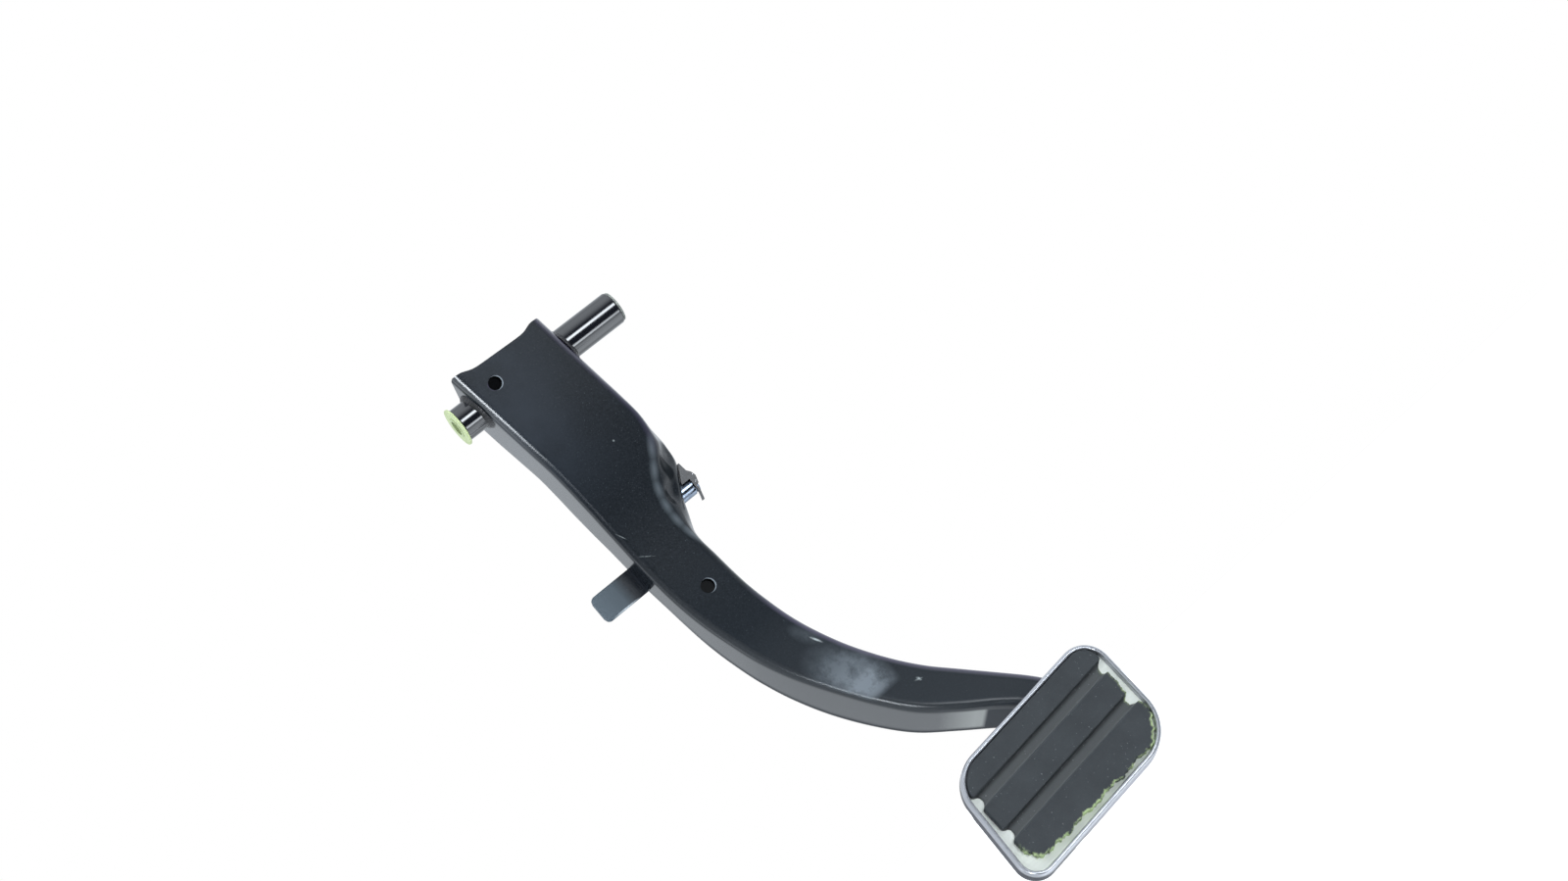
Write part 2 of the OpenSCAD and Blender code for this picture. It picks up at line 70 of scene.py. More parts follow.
def lean(level):
    """Lean in radians: arc length past the start of the bend over the bend's radius."""
    return np.clip((level - BEND_START) / BEND_RADIUS, 0, math.radians(BEND_ANGLE))


def on_arm(x, level, depth):
    """A point of the unrolled arm in space: along the bent profile, then back by depth."""
    x, level, depth = np.broadcast_arrays(*(np.asarray(v, float) for v in (x, level, depth)))
    a = lean(level)
    past = np.maximum(level - BEND_END, 0)
    y = -WEB_AHEAD - BEND_RADIUS * (1 - np.cos(a)) - past * np.sin(a) + depth * np.cos(a)
    z = PIVOT_DROP - np.minimum(level, BEND_START) - BEND_RADIUS * np.sin(a) - past * np.cos(a)
    return np.stack([x, y, z - depth * np.sin(a)], -1)


def off_arm(points):
    """Level and depth of points in space: undo the hang, then read them off the bend's circle,
    whose angle gives the level and whose radius gives the depth, or off the straight part."""
    c, s = math.cos(math.radians(HANG_ANGLE)), math.sin(math.radians(HANG_ANGLE))
    y, z = points[:, 1] * c + points[:, 2] * s, -points[:, 1] * s + points[:, 2] * c
    from_y, from_z = y + WEB_AHEAD + BEND_RADIUS, PIVOT_DROP - BEND_START - z
    a = np.clip(np.arctan2(from_z, from_y), 0, math.radians(BEND_ANGLE))
    depth = from_y * np.cos(a) + from_z * np.sin(a) - BEND_RADIUS
    past = from_z * np.cos(a) - from_y * np.sin(a)
    return BEND_START + a * BEND_RADIUS + past, depth


def at_arm(local, x, level, depth):
    """Local points (across, behind, up the arm) placed about one point of the arm."""
    u, v, w = np.moveaxis(np.asarray(local, float), -1, 0)
    a = float(lean(np.float64(level)))
    c, s = math.cos(a), math.sin(a)
    return np.stack([u, v * c + w * s, w * c - v * s], -1) + on_arm(x, level, depth)


print("the pad's side of the bend lies at", hang(on_arm(0, BEND_END, 0)).round(1), "mm")

# %% [markdown]
# ## Grids into meshes
# A grid of points becomes a mesh with one face between each four neighbours. Closing the grid
# on itself makes a tube, and a strip or a fan closes its ends, so every piece is watertight.

# %% Mesh helpers
def grid_faces(rows, columns, wrap_rows=False, wrap_columns=False):
    """Four corners of every cell: index of row i and column j is i times columns plus j."""
    i = np.arange(rows if wrap_rows else rows - 1)[:, None]
    j = np.arange(columns if wrap_columns else columns - 1)[None, :]
    i2, j2 = (i + 1) % rows, (j + 1) % columns
    i, j, i2, j2 = np.broadcast_arrays(i, j, i2, j2)
    quads = np.stack([i * columns + j, i * columns + j2, i2 * columns + j2, i2 * columns + j], -1)
    return quads.reshape(-1, 4)


def make_mesh(name, points, faces, sharp=35.0):
    """Points in millimetres and index rows become a smooth piece with sharp edges kept."""
    mesh = bpy.data.meshes.new(name)
    verts = hang(points).reshape(-1, 3) * MM
    mesh.vertices.add(len(verts))
    mesh.vertices.foreach_set("co", verts.astype(np.float32).ravel())
    sizes = np.array([len(f) for f in faces])
    loops = np.concatenate([np.asarray(f).ravel() for f in faces])
    mesh.loops.add(len(loops))
    mesh.loops.foreach_set("vertex_index", loops.astype(np.int32))
    mesh.polygons.add(len(sizes))
    mesh.polygons.foreach_set("loop_start", np.r_[0, np.cumsum(sizes)[:-1]].astype(np.int32))
    mesh.update(calc_edges=True)
    mesh.validate()
    piece = bpy.data.objects.new(name, mesh)
    bpy.context.scene.collection.objects.link(piece)
    mesh.shade_smooth()
    mesh.set_sharp_from_angle(angle=math.radians(sharp))
    return piece


def mesh_points(piece):
    """The points of a piece in metres, one row each."""
    co = np.zeros(len(piece.data.vertices) * 3)
    piece.data.vertices.foreach_get("co", co)
    return co.reshape(-1, 3)


def mark(piece, name, values):
    """Stores one number per point of a piece, for its material to read."""
    made = piece.data.attributes.new(name, "FLOAT", "POINT")
    made.data.foreach_set("value", np.asarray(values, np.float32).ravel())


print("a grid of 3 by 4 points has", len(grid_faces(3, 4)), "faces")

# %% Closed pieces
def outward(piece):
    """Turns the faces outward: the signed volume of a closed mesh is positive when they are."""
    mesh = piece.data
    co = mesh_points(piece)
    co = co - co.mean(0)
    mesh.calc_loop_triangles()
    tri = np.zeros(len(mesh.loop_triangles) * 3, np.int32)
    mesh.loop_triangles.foreach_get("vertices", tri)
    a, b, c = (co[tri.reshape(-1, 3)[:, k]] for k in range(3))
    volume = np.einsum("ij,ij->i", a, np.cross(b, c)).sum() / 6
    if volume < 0:
        mesh.flip_normals()
    print(f"{piece.name}: {len(tri) // 3} triangles, {abs(volume) * 1e9:.0f} mm3")
    return piece


def tube_piece(name, rings, sharp=35.0):
    """A row of closed rings joined into a tube, each end closed by a flat many-sided face."""
    n, m, _ = rings.shape
    faces = list(grid_faces(n, m, wrap_columns=True))
    faces += [np.arange(m)[::-1], np.arange(m) + (n - 1) * m]
    return outward(make_mesh(name, rings.reshape(-1, 3), faces, sharp))


def looped_piece(name, rings, sharp=35.0):
    """A row of closed rings whose last ring joins its first, as on any piece with a bore."""
    n, m, _ = rings.shape
    faces = list(grid_faces(n, m, wrap_rows=True, wrap_columns=True))
    return outward(make_mesh(name, rings.reshape(-1, 3), faces, sharp))


def turned_piece(name, profile, place=np.asarray, steps=128):
    """A closed profile of (along, radius) carried round the x axis, then put in place."""
    profile = np.asarray(profile, float)
    a = np.linspace(0, 2 * np.pi, steps, endpoint=False)[None, :]
    along, r = profile[:, :1], profile[:, 1:]
    rings = np.stack(np.broadcast_arrays(along, r * np.cos(a), r * np.sin(a)), -1)
    return looped_piece(name, place(rings))


def rounded_profile(corners, radii, steps=5):
    """A closed profile whose corners are rounded: each becomes a short curve whose middle is
    drawn toward the corner, with the weights (1 - t) squared, 2t(1 - t) and t squared."""
    c = np.asarray(corners, float)
    out = []
    for k in range(len(c)):
        before, after = c[k] - c[k - 1], c[(k + 1) % len(c)] - c[k]
        before, after = before / np.linalg.norm(before), after / np.linalg.norm(after)
        cut = radii[k]
        if cut <= 0:
            out.append(c[k][None, :])
            continue
        t = np.linspace(0, 1, steps)[:, None]
        p0, p1, p2 = c[k] - before * cut, c[k], c[k] + after * cut
        out.append((1 - t) ** 2 * p0 + 2 * t * (1 - t) * p1 + t**2 * p2)
    return np.concatenate(out)


corner = rounded_profile([(0, 0), (9, 0), (9, 9)], (0, 2, 0))
print("a triangle with one round corner has", len(corner), "points")

# %% [markdown]
# ## The pressed arm
# On the real pedal one blank is folded along both long sides. The section is a channel: two
# flanges, two fold radii and the web. Its place, turn, width and depth change down the arm,
# so a handful of rows is enough, with a smooth curve through them. On the right the flange
# flares out where the pushrod pin stands, with two dimples pressed in the slope.
# A row gives x and level of the left corner, the slope in degrees, width, depth and flare.

# %% Rows of the pressing
SHEET, FOLD_R, BAND_SLOPE, BAND_WIDTH = 2.5, 4.5, 9.6, 53.4
LEFT_AT_ZERO, TOP_EDGE, EAR_RISE, TOP_TILT, EDGE_SLOPE = -38.3, 15.1, 2.3, 1.7, 0.52
FLAT_FROM, DIMPLE_DEPTH = 14.0, 2.4
BAND_RISE = math.tan(math.radians(BAND_SLOPE))


def band_row(level, depth):
    """A row of the parallel upper part: its left corner moves right by the slope."""
    return [LEFT_AT_ZERO + BAND_RISE * level, level, BAND_SLOPE, BAND_WIDTH, depth, 0]


ROWS = np.array([
    band_row(-9, 37), band_row(5.5, 37), band_row(20.5, 36.5), band_row(35.5, 35),
    band_row(48.5, 34), [-28.7, 60.4, 7.3, 53.2, 34, 0.6], [-27.7, 71.4, 5.8, 49, 34, 5.5],
    [-27.1, 78.4, 4.8, 43, 33, 11.8], [-26.6, 86.4, 3.8, 36, 31, 17],
    [-26, 96.4, 2.8, 32.6, 28, 13],
    [-25.4, 108.4, 2.8, 31.2, 26, 8.3], [-24.7, 120.4, 3.3, 32.4, 25, 1.5],
    [-23.7, 132.4, 4.3, 33, 23, 0], [-22.2, 144.3, 5.8, 32.4, 24, 0],
    [-20, 156.3, 8.8, 31.4, 27, 0],
    [-16.9, 169.3, 12.3, 30.4, 29.5, 0], [-12.3, 186.2, 16.8, 29.4, 30.5, 0],
    [-5.6, 203.1, 22.8, 28, 33.5, 0], [4.1, 221.5, 28.3, 26.2, 36.5, 0],
    [15.8, 240.8, 33.8, 25.4, 35.5, 0], [28.2, 257.2, 39.8, 24.8, 33.5, 0],
    [43.3, 270.2, 45.3, 22.2, 32.5, 0], [59.5, 282.5, 46.8, 18.5, 33, 0],
    [70.6, 293.1, 36.8, 17, 31, 0], [77.4, 304, 22.8, 17.2, 28, 0],
    [81.9, 315.9, 20.8, 17.5, 24, 0], [86.5, 327.9, 20.8, 17.5, 20, 0],
])


def station(t):
    """A smooth cubic through the rows at t, whose tangent at a row spans its neighbours."""
    table = np.vstack([2 * ROWS[0] - ROWS[1], ROWS, 2 * ROWS[-1] - ROWS[-2]])
    i = np.minimum(np.floor(t).astype(int), len(ROWS) - 2)
    f = (t - i)[:, None]
    a, b, c, d = (table[i + k] for k in range(4))
    return 0.5 * (2 * b + (c - a) * f + (2 * a - 5 * b + 4 * c - d) * f**2
                  + (3 * b - a - 3 * c + d) * f**3)


print(len(ROWS), "rows; at the pin's level the section is", station(np.array([9.0])).round(1))

# %% Section of the channel
DIMPLES = ((81.2, 8, 5.5, 4.5), (94.2, 5, 5, 3))  # level, depth and their two half sizes
PRESSED_IN, PRESSED_BACK = 0.6, 0.8
LEFT_STEPS, FOLD_STEPS, WEB_STEPS, RIGHT_STEPS = 15, 13, 27, 29


def channel_path(v):
    """The outer line of the section: left flange, arc, web, arc, right flange with its flare.
    The flare moves the flange outward by a quarter sine of the depth, then runs flat. A
    dimple moves it back in by a bell of the distance from its middle."""
    width, depth, flare, level = v[:, 3:4], v[:, 4:5], v[:, 5:6], v[:, 1:2]
    one = np.ones_like(width)
    down = np.linspace(1, 0, LEFT_STEPS)[None, :-1]
    up = np.linspace(0, 1, RIGHT_STEPS)[None, 1:] ** 1.2
    arc = np.linspace(np.pi / 2, 0, FOLD_STEPS)[None, :]
    arc_in, arc_back = FOLD_R * (1 - np.sin(arc)) * one, FOLD_R * (1 - np.cos(arc)) * one
    left = np.concatenate([0 * one * down, arc_in], 1)
    left_b = np.concatenate([FOLD_R + (depth - FOLD_R) * down, arc_back], 1)
    web = FOLD_R + (width - 2 * FOLD_R) * np.linspace(0, 1, WEB_STEPS)[None, 1:-1]
    right = np.concatenate([width - arc_in[:, ::-1], width + 0 * up], 1)
    right_b = np.concatenate([arc_back[:, ::-1], FOLD_R + (depth - FOLD_R) * up], 1)
    curve = np.sin(np.pi / 2 * np.clip(right_b / FLAT_FROM, 0, 1))
    bells = sum(np.exp(-(((level - at) / tall) ** 2 + ((right_b - back) / deep) ** 2) ** 1.5)
                for at, back, tall, deep in DIMPLES)
    press = bells * DIMPLE_DEPTH * np.clip((flare - 1) / 2, 0, 1)
    right = right + flare * curve - PRESSED_IN * press
    right_b = right_b + PRESSED_BACK * press
    return np.stack([np.concatenate([left, web, right], 1),
                     np.concatenate([left_b, 0 * web, right_b], 1)], -1)


def inward(path):
    """Unit normals of the path, pointing into the channel: the tangent turned by a right angle."""
    t = np.empty_like(path)
    t[:, 1:-1] = path[:, 2:] - path[:, :-2]
    t[:, 0], t[:, -1] = path[:, 1] - path[:, 0], path[:, -1] - path[:, -2]
    t /= np.linalg.norm(t, axis=-1, keepdims=True)
    return np.stack([-t[..., 1], t[..., 0]], -1)


def top_level(width, p):
    """Level of the top edge: straight, with a bell-shaped rise at each fold, and sloping back."""
    from_fold = np.maximum(0, np.minimum(p[..., 0], width - p[..., 0]) - FOLD_R)
    ears = EAR_RISE * np.exp(-(from_fold / 5) ** 2)
    tilt = (p[..., 0] - width / 2) * math.tan(math.radians(TOP_TILT))
    return -TOP_EDGE - ears + tilt + EDGE_SLOPE * np.maximum(0, p[..., 1] - FOLD_R / 3)


def place_section(t, v, p):
    """Puts section points on the arm; near the top each point slides along the band to the edge."""
    turn = np.radians(v[:, 2:3])
    level = v[:, 1:2] - p[..., 0] * np.sin(turn)
    stretch = np.clip(1 - t / 3, 0, 1)[:, None]
    shift = stretch * (top_level(v[:, 3:4], p) - level + v[:, 1:2] - ROWS[0, 1]) / np.cos(turn)
    x = v[:, 0:1] + p[..., 0] * np.cos(turn) + shift * np.sin(turn)
    return on_arm(x, level + shift * np.cos(turn), p[..., 1])


# %% Build the arm
EDGE_R, ARM_SHARP = 0.35, 30
EDGE_ACROSS = np.array([0.03, 0.08, 0.14, 0.3, 0.5, 0.7, 0.86, 0.92, 0.97])[None, :, None]
STEPS_PER_ROW = 13


def edge_round(across):
    """How far a sheet edge falls back near its two faces: a quarter circle at each side."""
    near = np.minimum(across, 1 - across) * SHEET
    return EDGE_R - np.sqrt(np.maximum(EDGE_R**2 - np.maximum(EDGE_R - near, 0) ** 2, 0))


def arm_rings(t):
    """Closed rings: the outer path, the rounded sheet edge, the inner path back, the other edge."""
    v = station(t)
    outer = channel_path(v)
    normal = inward(outer)
    inner = outer + SHEET * normal
    fall = np.zeros((1, EDGE_ACROSS.shape[1], 2))
    fall[0, :, 1] = edge_round(EDGE_ACROSS[0, :, 0])
    lift = np.array([0.0, EDGE_R])
    right_end = outer[:, -1:] + EDGE_ACROSS * SHEET * normal[:, -1:] - fall
    left_end = (outer[:, :1] + EDGE_ACROSS * SHEET * normal[:, :1] - fall)[:, ::-1]
    for side in (outer, inner):
        side[:, 0] -= lift
        side[:, -1] -= lift
    ring = np.concatenate([outer, right_end, inner[:, ::-1], left_end], 1)
    return place_section(t, v, ring)


T = np.linspace(0, len(ROWS) - 1, (len(ROWS) - 1) * STEPS_PER_ROW + 1)
arm_grid = arm_rings(T)
count, ring_size, _ = arm_grid.shape
half = channel_path(station(T[:1])).shape[1]
gap = (ring_size - 2 * half) // 2
outer_side = np.arange(half)
inner_side = half + gap + np.arange(half)[::-1]
cap = np.stack([outer_side[:-1], inner_side[:-1], inner_side[1:], outer_side[1:]], -1)
right_lip = half - 1 + np.arange(gap + 2)
left_lip = np.r_[half + gap + half - 1 + np.arange(gap + 1), 0]
caps = [*cap, right_lip[::-1], left_lip[::-1]]
last = (count - 1) * ring_size
arm_faces = [*grid_faces(count, ring_size, wrap_columns=True), *caps]
arm_faces += [np.asarray(f)[::-1] + last for f in caps]
arm = outward(make_mesh("pressed_arm", arm_grid.reshape(-1, 3), arm_faces, ARM_SHARP))

# %% [markdown]
# ## The tooling holes
# Two round holes in the web hold the blank in the press. A hole could be left out of the grid,
# but its rows would have to bend round it. Taking a cylinder away is simpler, and leaves a
# crisp mouth. Each hole stops just short of the sheet's back, where the coat paints shade on
# the thin skin, so both look dark.

# %% Tooling holes
HOLES = ((-25.1, -3.6, 3.5), (-5.6, 140.5, 3.65))  # x, level and radius
SKIN, HOLE_AHEAD, HOLE_STEPS = 0.3, 6, 96


def cut_hole(piece, front, back, radius):
    """Takes away a cylinder that runs from front to back: a disc is the radius times the
    cosine and the sine of the angle along two directions across the axis."""
    a = np.linspace(0, 2 * np.pi, HOLE_STEPS, endpoint=False)
    axis = Vector(back - front).normalized()
    side = np.array(axis.orthogonal().normalized())
    other = np.cross(np.array(axis), side)
    disc = radius * (np.cos(a)[:, None] * side + np.sin(a)[:, None] * other)
    mesh = bpy.data.meshes.new("cutter")
    n = len(a)
    faces = [f.tolist() for f in grid_faces(2, n, wrap_columns=True)]
    faces += [list(range(n))[::-1], list(range(n, 2 * n))]
    mesh.from_pydata((np.concatenate([front + disc, back + disc]) * MM).tolist(), [], faces)
    cutter = bpy.data.objects.new("cutter", mesh)
    bpy.context.scene.collection.objects.link(cutter)
    cut = piece.modifiers.new("hole", "BOOLEAN")
    cut.object, cut.operation, cut.solver = cutter, "DIFFERENCE", "EXACT"
    bpy.context.view_layer.objects.active = piece
    bpy.ops.object.modifier_apply(modifier="hole")
    bpy.data.objects.remove(cutter)
    piece.data.shade_smooth()
    piece.data.set_sharp_from_angle(angle=math.radians(ARM_SHARP))


for x, level, radius in HOLES:
    front, back = hang(on_arm(x, level, -HOLE_AHEAD)), hang(on_arm(x, level, SHEET - SKIN))
    cut_hole(arm, front, back, radius)
print("arm with its two tooling holes:", len(arm.data.polygons), "faces")

# %% [markdown]
# ## Numbers for the coat
# Dust, wear and light change down the arm and round its folds. Reading them off the shape is
# more exact than painting them, so four numbers are stored on its points: level, depth, how
# far the surface faces right, and how far it lies from the flange's free edge.

# %% Numbers stored on the arm
arm_level, arm_depth = off_arm(mesh_points(arm) / MM)
arm_normal = np.zeros(len(arm_level) * 3)
arm.data.vertices.foreach_get("normal", arm_normal)
mark(arm, "level", arm_level)
mark(arm, "depth", arm_depth)
mark(arm, "to_right", arm_normal.reshape(-1, 3)[:, 0])
mark(arm, "from_lip", np.interp(arm_level, ROWS[:, 1], ROWS[:, 4]) - arm_depth)
print("levels", arm_level.min().round(1), "to", arm_level.max().round(1), "mm")

# %% [markdown]
# ## The switch lug
# The lug is part of the same sheet, folded out of the left flange. A bent box would do, but
# its corners are round, so it is a strip carried along a short path: down the flange, round a
# small fold, then straight out, growing narrower along a circle at its end.

# %% Switch lug
LUG_REACH, LUG_WIDTH, LUG_LEVEL, LUG_CORNER = 26.0, 15.3, 114.5, 3.0
LUG_FOLD, LUG_FACE, LUG_ROOT, LUG_EDGE = 2.0, 23.5, -22.6, 0.6
# the flat oval of the section, point by point: side, how far it is inset, and rise
OVAL = np.array([
    (-1, 0, 0.15), (-1, 0.12, 0.05), (-1, 0.5, 0), (-0.9, 0, 0), (0.9, 0, 0), (1, 0.5, 0),
    (1, 0.12, 0.05), (1, 0, 0.15), (1, 0, 0.85), (1, 0.12, 0.95), (1, 0.5, 1), (0.9, 0, 1),
    (-0.9, 0, 1), (-1, 0.5, 1), (-1, 0.12, 0.95), (-1, 0, 0.85),
])


def strip_rings(path, half_width, thickness):
    """Rings round a strip: at each path point the oval, its sides along the arm at the half
    width less the inset, its rise along the path's normal in shares of the thickness."""
    t = np.gradient(path, axis=0)
    t /= np.linalg.norm(t, axis=1, keepdims=True)
    normal = np.stack([-t[:, 1], t[:, 0]], -1)
    side, inset, rise = OVAL.T
    w = side * half_width[:, None] - np.sign(side) * inset * LUG_EDGE
    xy = path[:, None, :] + rise[None, :, None] * thickness * normal[:, None, :]
    return np.concatenate([xy, w[..., None]], -1)


fold_a = np.linspace(0, np.pi / 2, 13)
lug_out = LUG_ROOT - SHEET
fold_x, fold_b = lug_out - LUG_FOLD, LUG_FACE - LUG_FOLD
plate = np.linspace(0, 1, 40)[1:]
lug_end = lug_out - LUG_REACH
plate_x = fold_x + (lug_end - fold_x) * plate
lug_path = np.concatenate([
    [[LUG_ROOT, fold_b - 4]],
    [[fold_x, fold_b]] + (LUG_FOLD + SHEET) * np.stack([np.cos(fold_a), np.sin(fold_a)], -1),
    np.stack([plate_x, 0 * plate_x + LUG_FACE + SHEET], -1),
])
from_end = np.clip(LUG_CORNER - (lug_path[:, 0] - lug_end), 0, LUG_CORNER)
lug_half = LUG_WIDTH / 2 - LUG_CORNER + np.sqrt(LUG_CORNER**2 - from_end**2)
lug_grid = strip_rings(lug_path, lug_half, SHEET)
lug = tube_piece("switch_lug", at_arm(lug_grid, 0, LUG_LEVEL, 0))

# %% [markdown]
# ## The cross tube, its welds and its bushes
# A turned profile makes each of them. A weld is a bead laid round the tube in small steps, so
# its profile swells and sinks as it goes round, and its foot follows the slanting flange.

# %% Turned pieces on the pivot axis
TUBE_HALF, TUBE_R, TUBE_BORE = 50.0, 9.0, 7.0
BUSH_FLANGE, BUSH_BORE, BUSH_BODY, BUSH_LENGTH = 1.2, 5.53, 6.98, 18.0
LEFT_FLANGE_R, RIGHT_FLANGE_R = 10.5, TUBE_R - 0.6


tube = turned_piece("cross_tube", rounded_profile(
    [(-TUBE_HALF, TUBE_BORE), (-TUBE_HALF, TUBE_R), (TUBE_HALF, TUBE_R), (TUBE_HALF, TUBE_BORE)],
    (0.3, 0.9, 0.9, 0.3), 7), steps=160)


def bush(name, side, flange_r):
    """A sleeve with a short body in the tube and a thin flange on the tube's end."""
    body, face = side * (TUBE_HALF - BUSH_LENGTH), side * (TUBE_HALF + BUSH_FLANGE)
    corners = [(body, BUSH_BORE), (body, BUSH_BODY), (side * TUBE_HALF, BUSH_BODY),
               (side * TUBE_HALF, flange_r), (face, flange_r), (face, BUSH_BORE)]
    return turned_piece(name, rounded_profile(corners, (0.2, 0.2, 0.0, 0.3, 0.4, 0.3)))


bushes = [bush("left_bush", -1, LEFT_FLANGE_R), bush("right_bush", 1, RIGHT_FLANGE_R)]

# %% Welds round the tube
WELD_LEG, WELD_GAP, WELD_STEPS, RIPPLES, BULGE = 2.2, 0.02, 200, 34, 0.28


def weld_bead(name, x0, side):
    """A bead round the tube: across it a quarter bump, one minus the sine and one minus the
    cosine of k, and along it ripples by the sine of the angle a."""
    a = np.linspace(0, 2 * np.pi, WELD_STEPS, endpoint=False)[None, :]
    k = np.linspace(0, np.pi / 2, 12)[:, None]
    ripple = 1 + 0.10 * np.sin(RIPPLES * a + 0.8 * np.sin(3 * a)) * np.sin(2 * k)
    ripple = ripple + 0.08 * np.sin(5 * a + 1)
    bulge = BULGE * WELD_LEG * np.sin(2 * k)
    seat = TUBE_R + WELD_GAP + 0 * a
    r = seat + WELD_LEG * (1 - np.sin(k)) * ripple ** (k < 1.5) + bulge
    out = WELD_LEG * (1 - np.cos(k)) * ripple + bulge
    foot = x0 - r * np.sin(a) * BAND_RISE
    r, along = np.concatenate([r, seat]), np.concatenate([foot + side * out, foot[-1:]])
    return looped_piece(name, np.stack([along, r * np.cos(a), r * np.sin(a)], -1), 60)


left_at_pivot = LEFT_AT_ZERO + BAND_RISE * PIVOT_DROP
right_at_pivot = left_at_pivot + BAND_WIDTH / math.cos(math.radians(BAND_SLOPE))
welds = [weld_bead("left_weld", left_at_pivot, -1), weld_bead("right_weld", right_at_pivot, 1)]

# %% [markdown]
# ## The pushrod pin
# The pin is turned and zinc plated, with a groove near its end for the clip. Its axis is
# parallel to the pivot, so it is turned in the same way and moved to the flared flange.

# %% Pushrod pin
PIN_LEVEL, PIN_DEPTH, PIN_R, ON_AXIS = 96.0, 20.0, 5.1, 0.01
PIN_IN, GROOVE_AT, GROOVE_WIDTH, GROOVE_R, PIN_CAP = 12.9, 26.3, 1.4, 3.9, 1.1


def at_pin(points):
    """Moves a turned profile from the pivot axis to the pin's axis."""
    return at_arm(points, 0, PIN_LEVEL, PIN_DEPTH)


cap_at = GROOVE_AT + GROOVE_WIDTH
pin = turned_piece("plated_pin", rounded_profile(
    [(PIN_IN, ON_AXIS), (PIN_IN, PIN_R), (GROOVE_AT, PIN_R), (GROOVE_AT, GROOVE_R),
     (cap_at, GROOVE_R), (cap_at, PIN_R), (cap_at + PIN_CAP, PIN_R), (cap_at + PIN_CAP, ON_AXIS)],
    (0, 0.4, 0.25, 0.1, 0.1, 0.2, 0.5, 0)), at_pin, 96)

# %% [markdown]
# ## The foot pad
# The trim tray is one stainless pressing: a floor, a raised rolled rim and a skirt that wraps
# the edges of the steel plate behind it. Its outline is a four-sided figure with four
# different corner radii. Moving that outline inward while the height follows a profile gives
# the whole tray.

# %% Pad outline
PAD_TOP, PAD_BOTTOM, PAD_HEIGHT, PAD_SKEW, PAD_ROLL = 103.3, 106.9, 65.5, 10.9, 5.5
PAD_X, PAD_LEVEL = 61.2, 321.3
PAD_RADII, SMALLEST_R = (11.5, 24.5, 14, 21), 0.8
PLATE, TRAY_SHEET, RIM_HEIGHT, RIM_WIDTH, SKIRT = 3.0, 1.2, 3.3, 3.0, 4.5
TRAY_BACK, TRAY_FLOOR = PLATE, PLATE + TRAY_SHEET
RIM_TOP = TRAY_FLOOR + RIM_HEIGHT
pad_corners = np.array([
    [-PAD_BOTTOM - PAD_SKEW, -PAD_HEIGHT], [PAD_BOTTOM - PAD_SKEW, -PAD_HEIGHT],
    [PAD_TOP + PAD_SKEW, PAD_HEIGHT], [-PAD_TOP + PAD_SKEW, PAD_HEIGHT],
]) / 2


def rounded_outline(insets, radii=PAD_RADII, corner_steps=16, side_steps=40):
    """The outline with each side moved in by its inset and each corner rounded by an arc."""
    c, n = pad_corners, 4
    insets = np.broadcast_to(np.asarray(insets, float), (n,))
    along = np.roll(c, -1, 0) - c
    along /= np.linalg.norm(along, axis=1, keepdims=True)
    normal = np.stack([-along[:, 1], along[:, 0]], -1)
    moved = np.empty_like(c)
    for i in range(n):
        p, q = c[i - 1] + normal[i - 1] * insets[i - 1], c[i] + normal[i] * insets[i]
        s = np.linalg.solve(np.stack([along[i - 1], -along[i]], 1), q - p)
        moved[i] = p + along[i - 1] * s[0]
    arcs = []
    for i in range(n):
        u, v = along[i - 1], along[i]
        turn = math.acos(float(u @ v))
        r = max(SMALLEST_R, radii[i] - (insets[i] + insets[i - 1]) / 2)
        centre = moved[i] - u * r * math.tan(turn / 2) + normal[i - 1] * r
        start = math.atan2(-normal[i - 1][1], -normal[i - 1][0])
        a = start + turn * np.linspace(0, 1, corner_steps)
        arcs.append(centre + r * np.stack([np.cos(a), np.sin(a)], -1))
    out = []
    for i in range(n):
        end, begin = arcs[i][-1], arcs[(i + 1) % n][0]
        f = np.linspace(0, 1, side_steps + 2)[1:-1, None]
        out += [arcs[i], end + (begin - end) * f]
    return np.concatenate(out)


def at_pad(points):
    """Pad points (right, up, out toward the foot) rolled and placed on the arm's end."""
    x, y, z = np.moveaxis(np.asarray(points, float), -1, 0)
    c, s = math.cos(math.radians(PAD_ROLL)), math.sin(math.radians(PAD_ROLL))
    return at_arm(np.stack([x * c - y * s, -z, x * s + y * c], -1), PAD_X, PAD_LEVEL, 0)


print("pad outline:", rounded_outline(0).shape[0], "points")

# %% Trim tray
NOTCH_AT, NOTCH_HALF, NOTCH_DEPTH = -24.0, 3.5, 1.6
UPPER_FOOT, EASE_OVER = 0.2, 2.5


def skirt_foot(p):
    """Height of the skirt's foot: short along the upper side, notched once along the lower."""
    foot = np.full(len(p), TRAY_BACK - SKIRT)
    foot[(p[:, 1] < 0) & (np.abs(p[:, 0] - NOTCH_AT) < NOTCH_HALF)] += NOTCH_DEPTH
    ease = np.clip((p[:, 1] - (PAD_HEIGHT / 2 - PAD_RADII[3])) / EASE_OVER, 0, 1)
    return foot + (UPPER_FOOT - foot) * ease


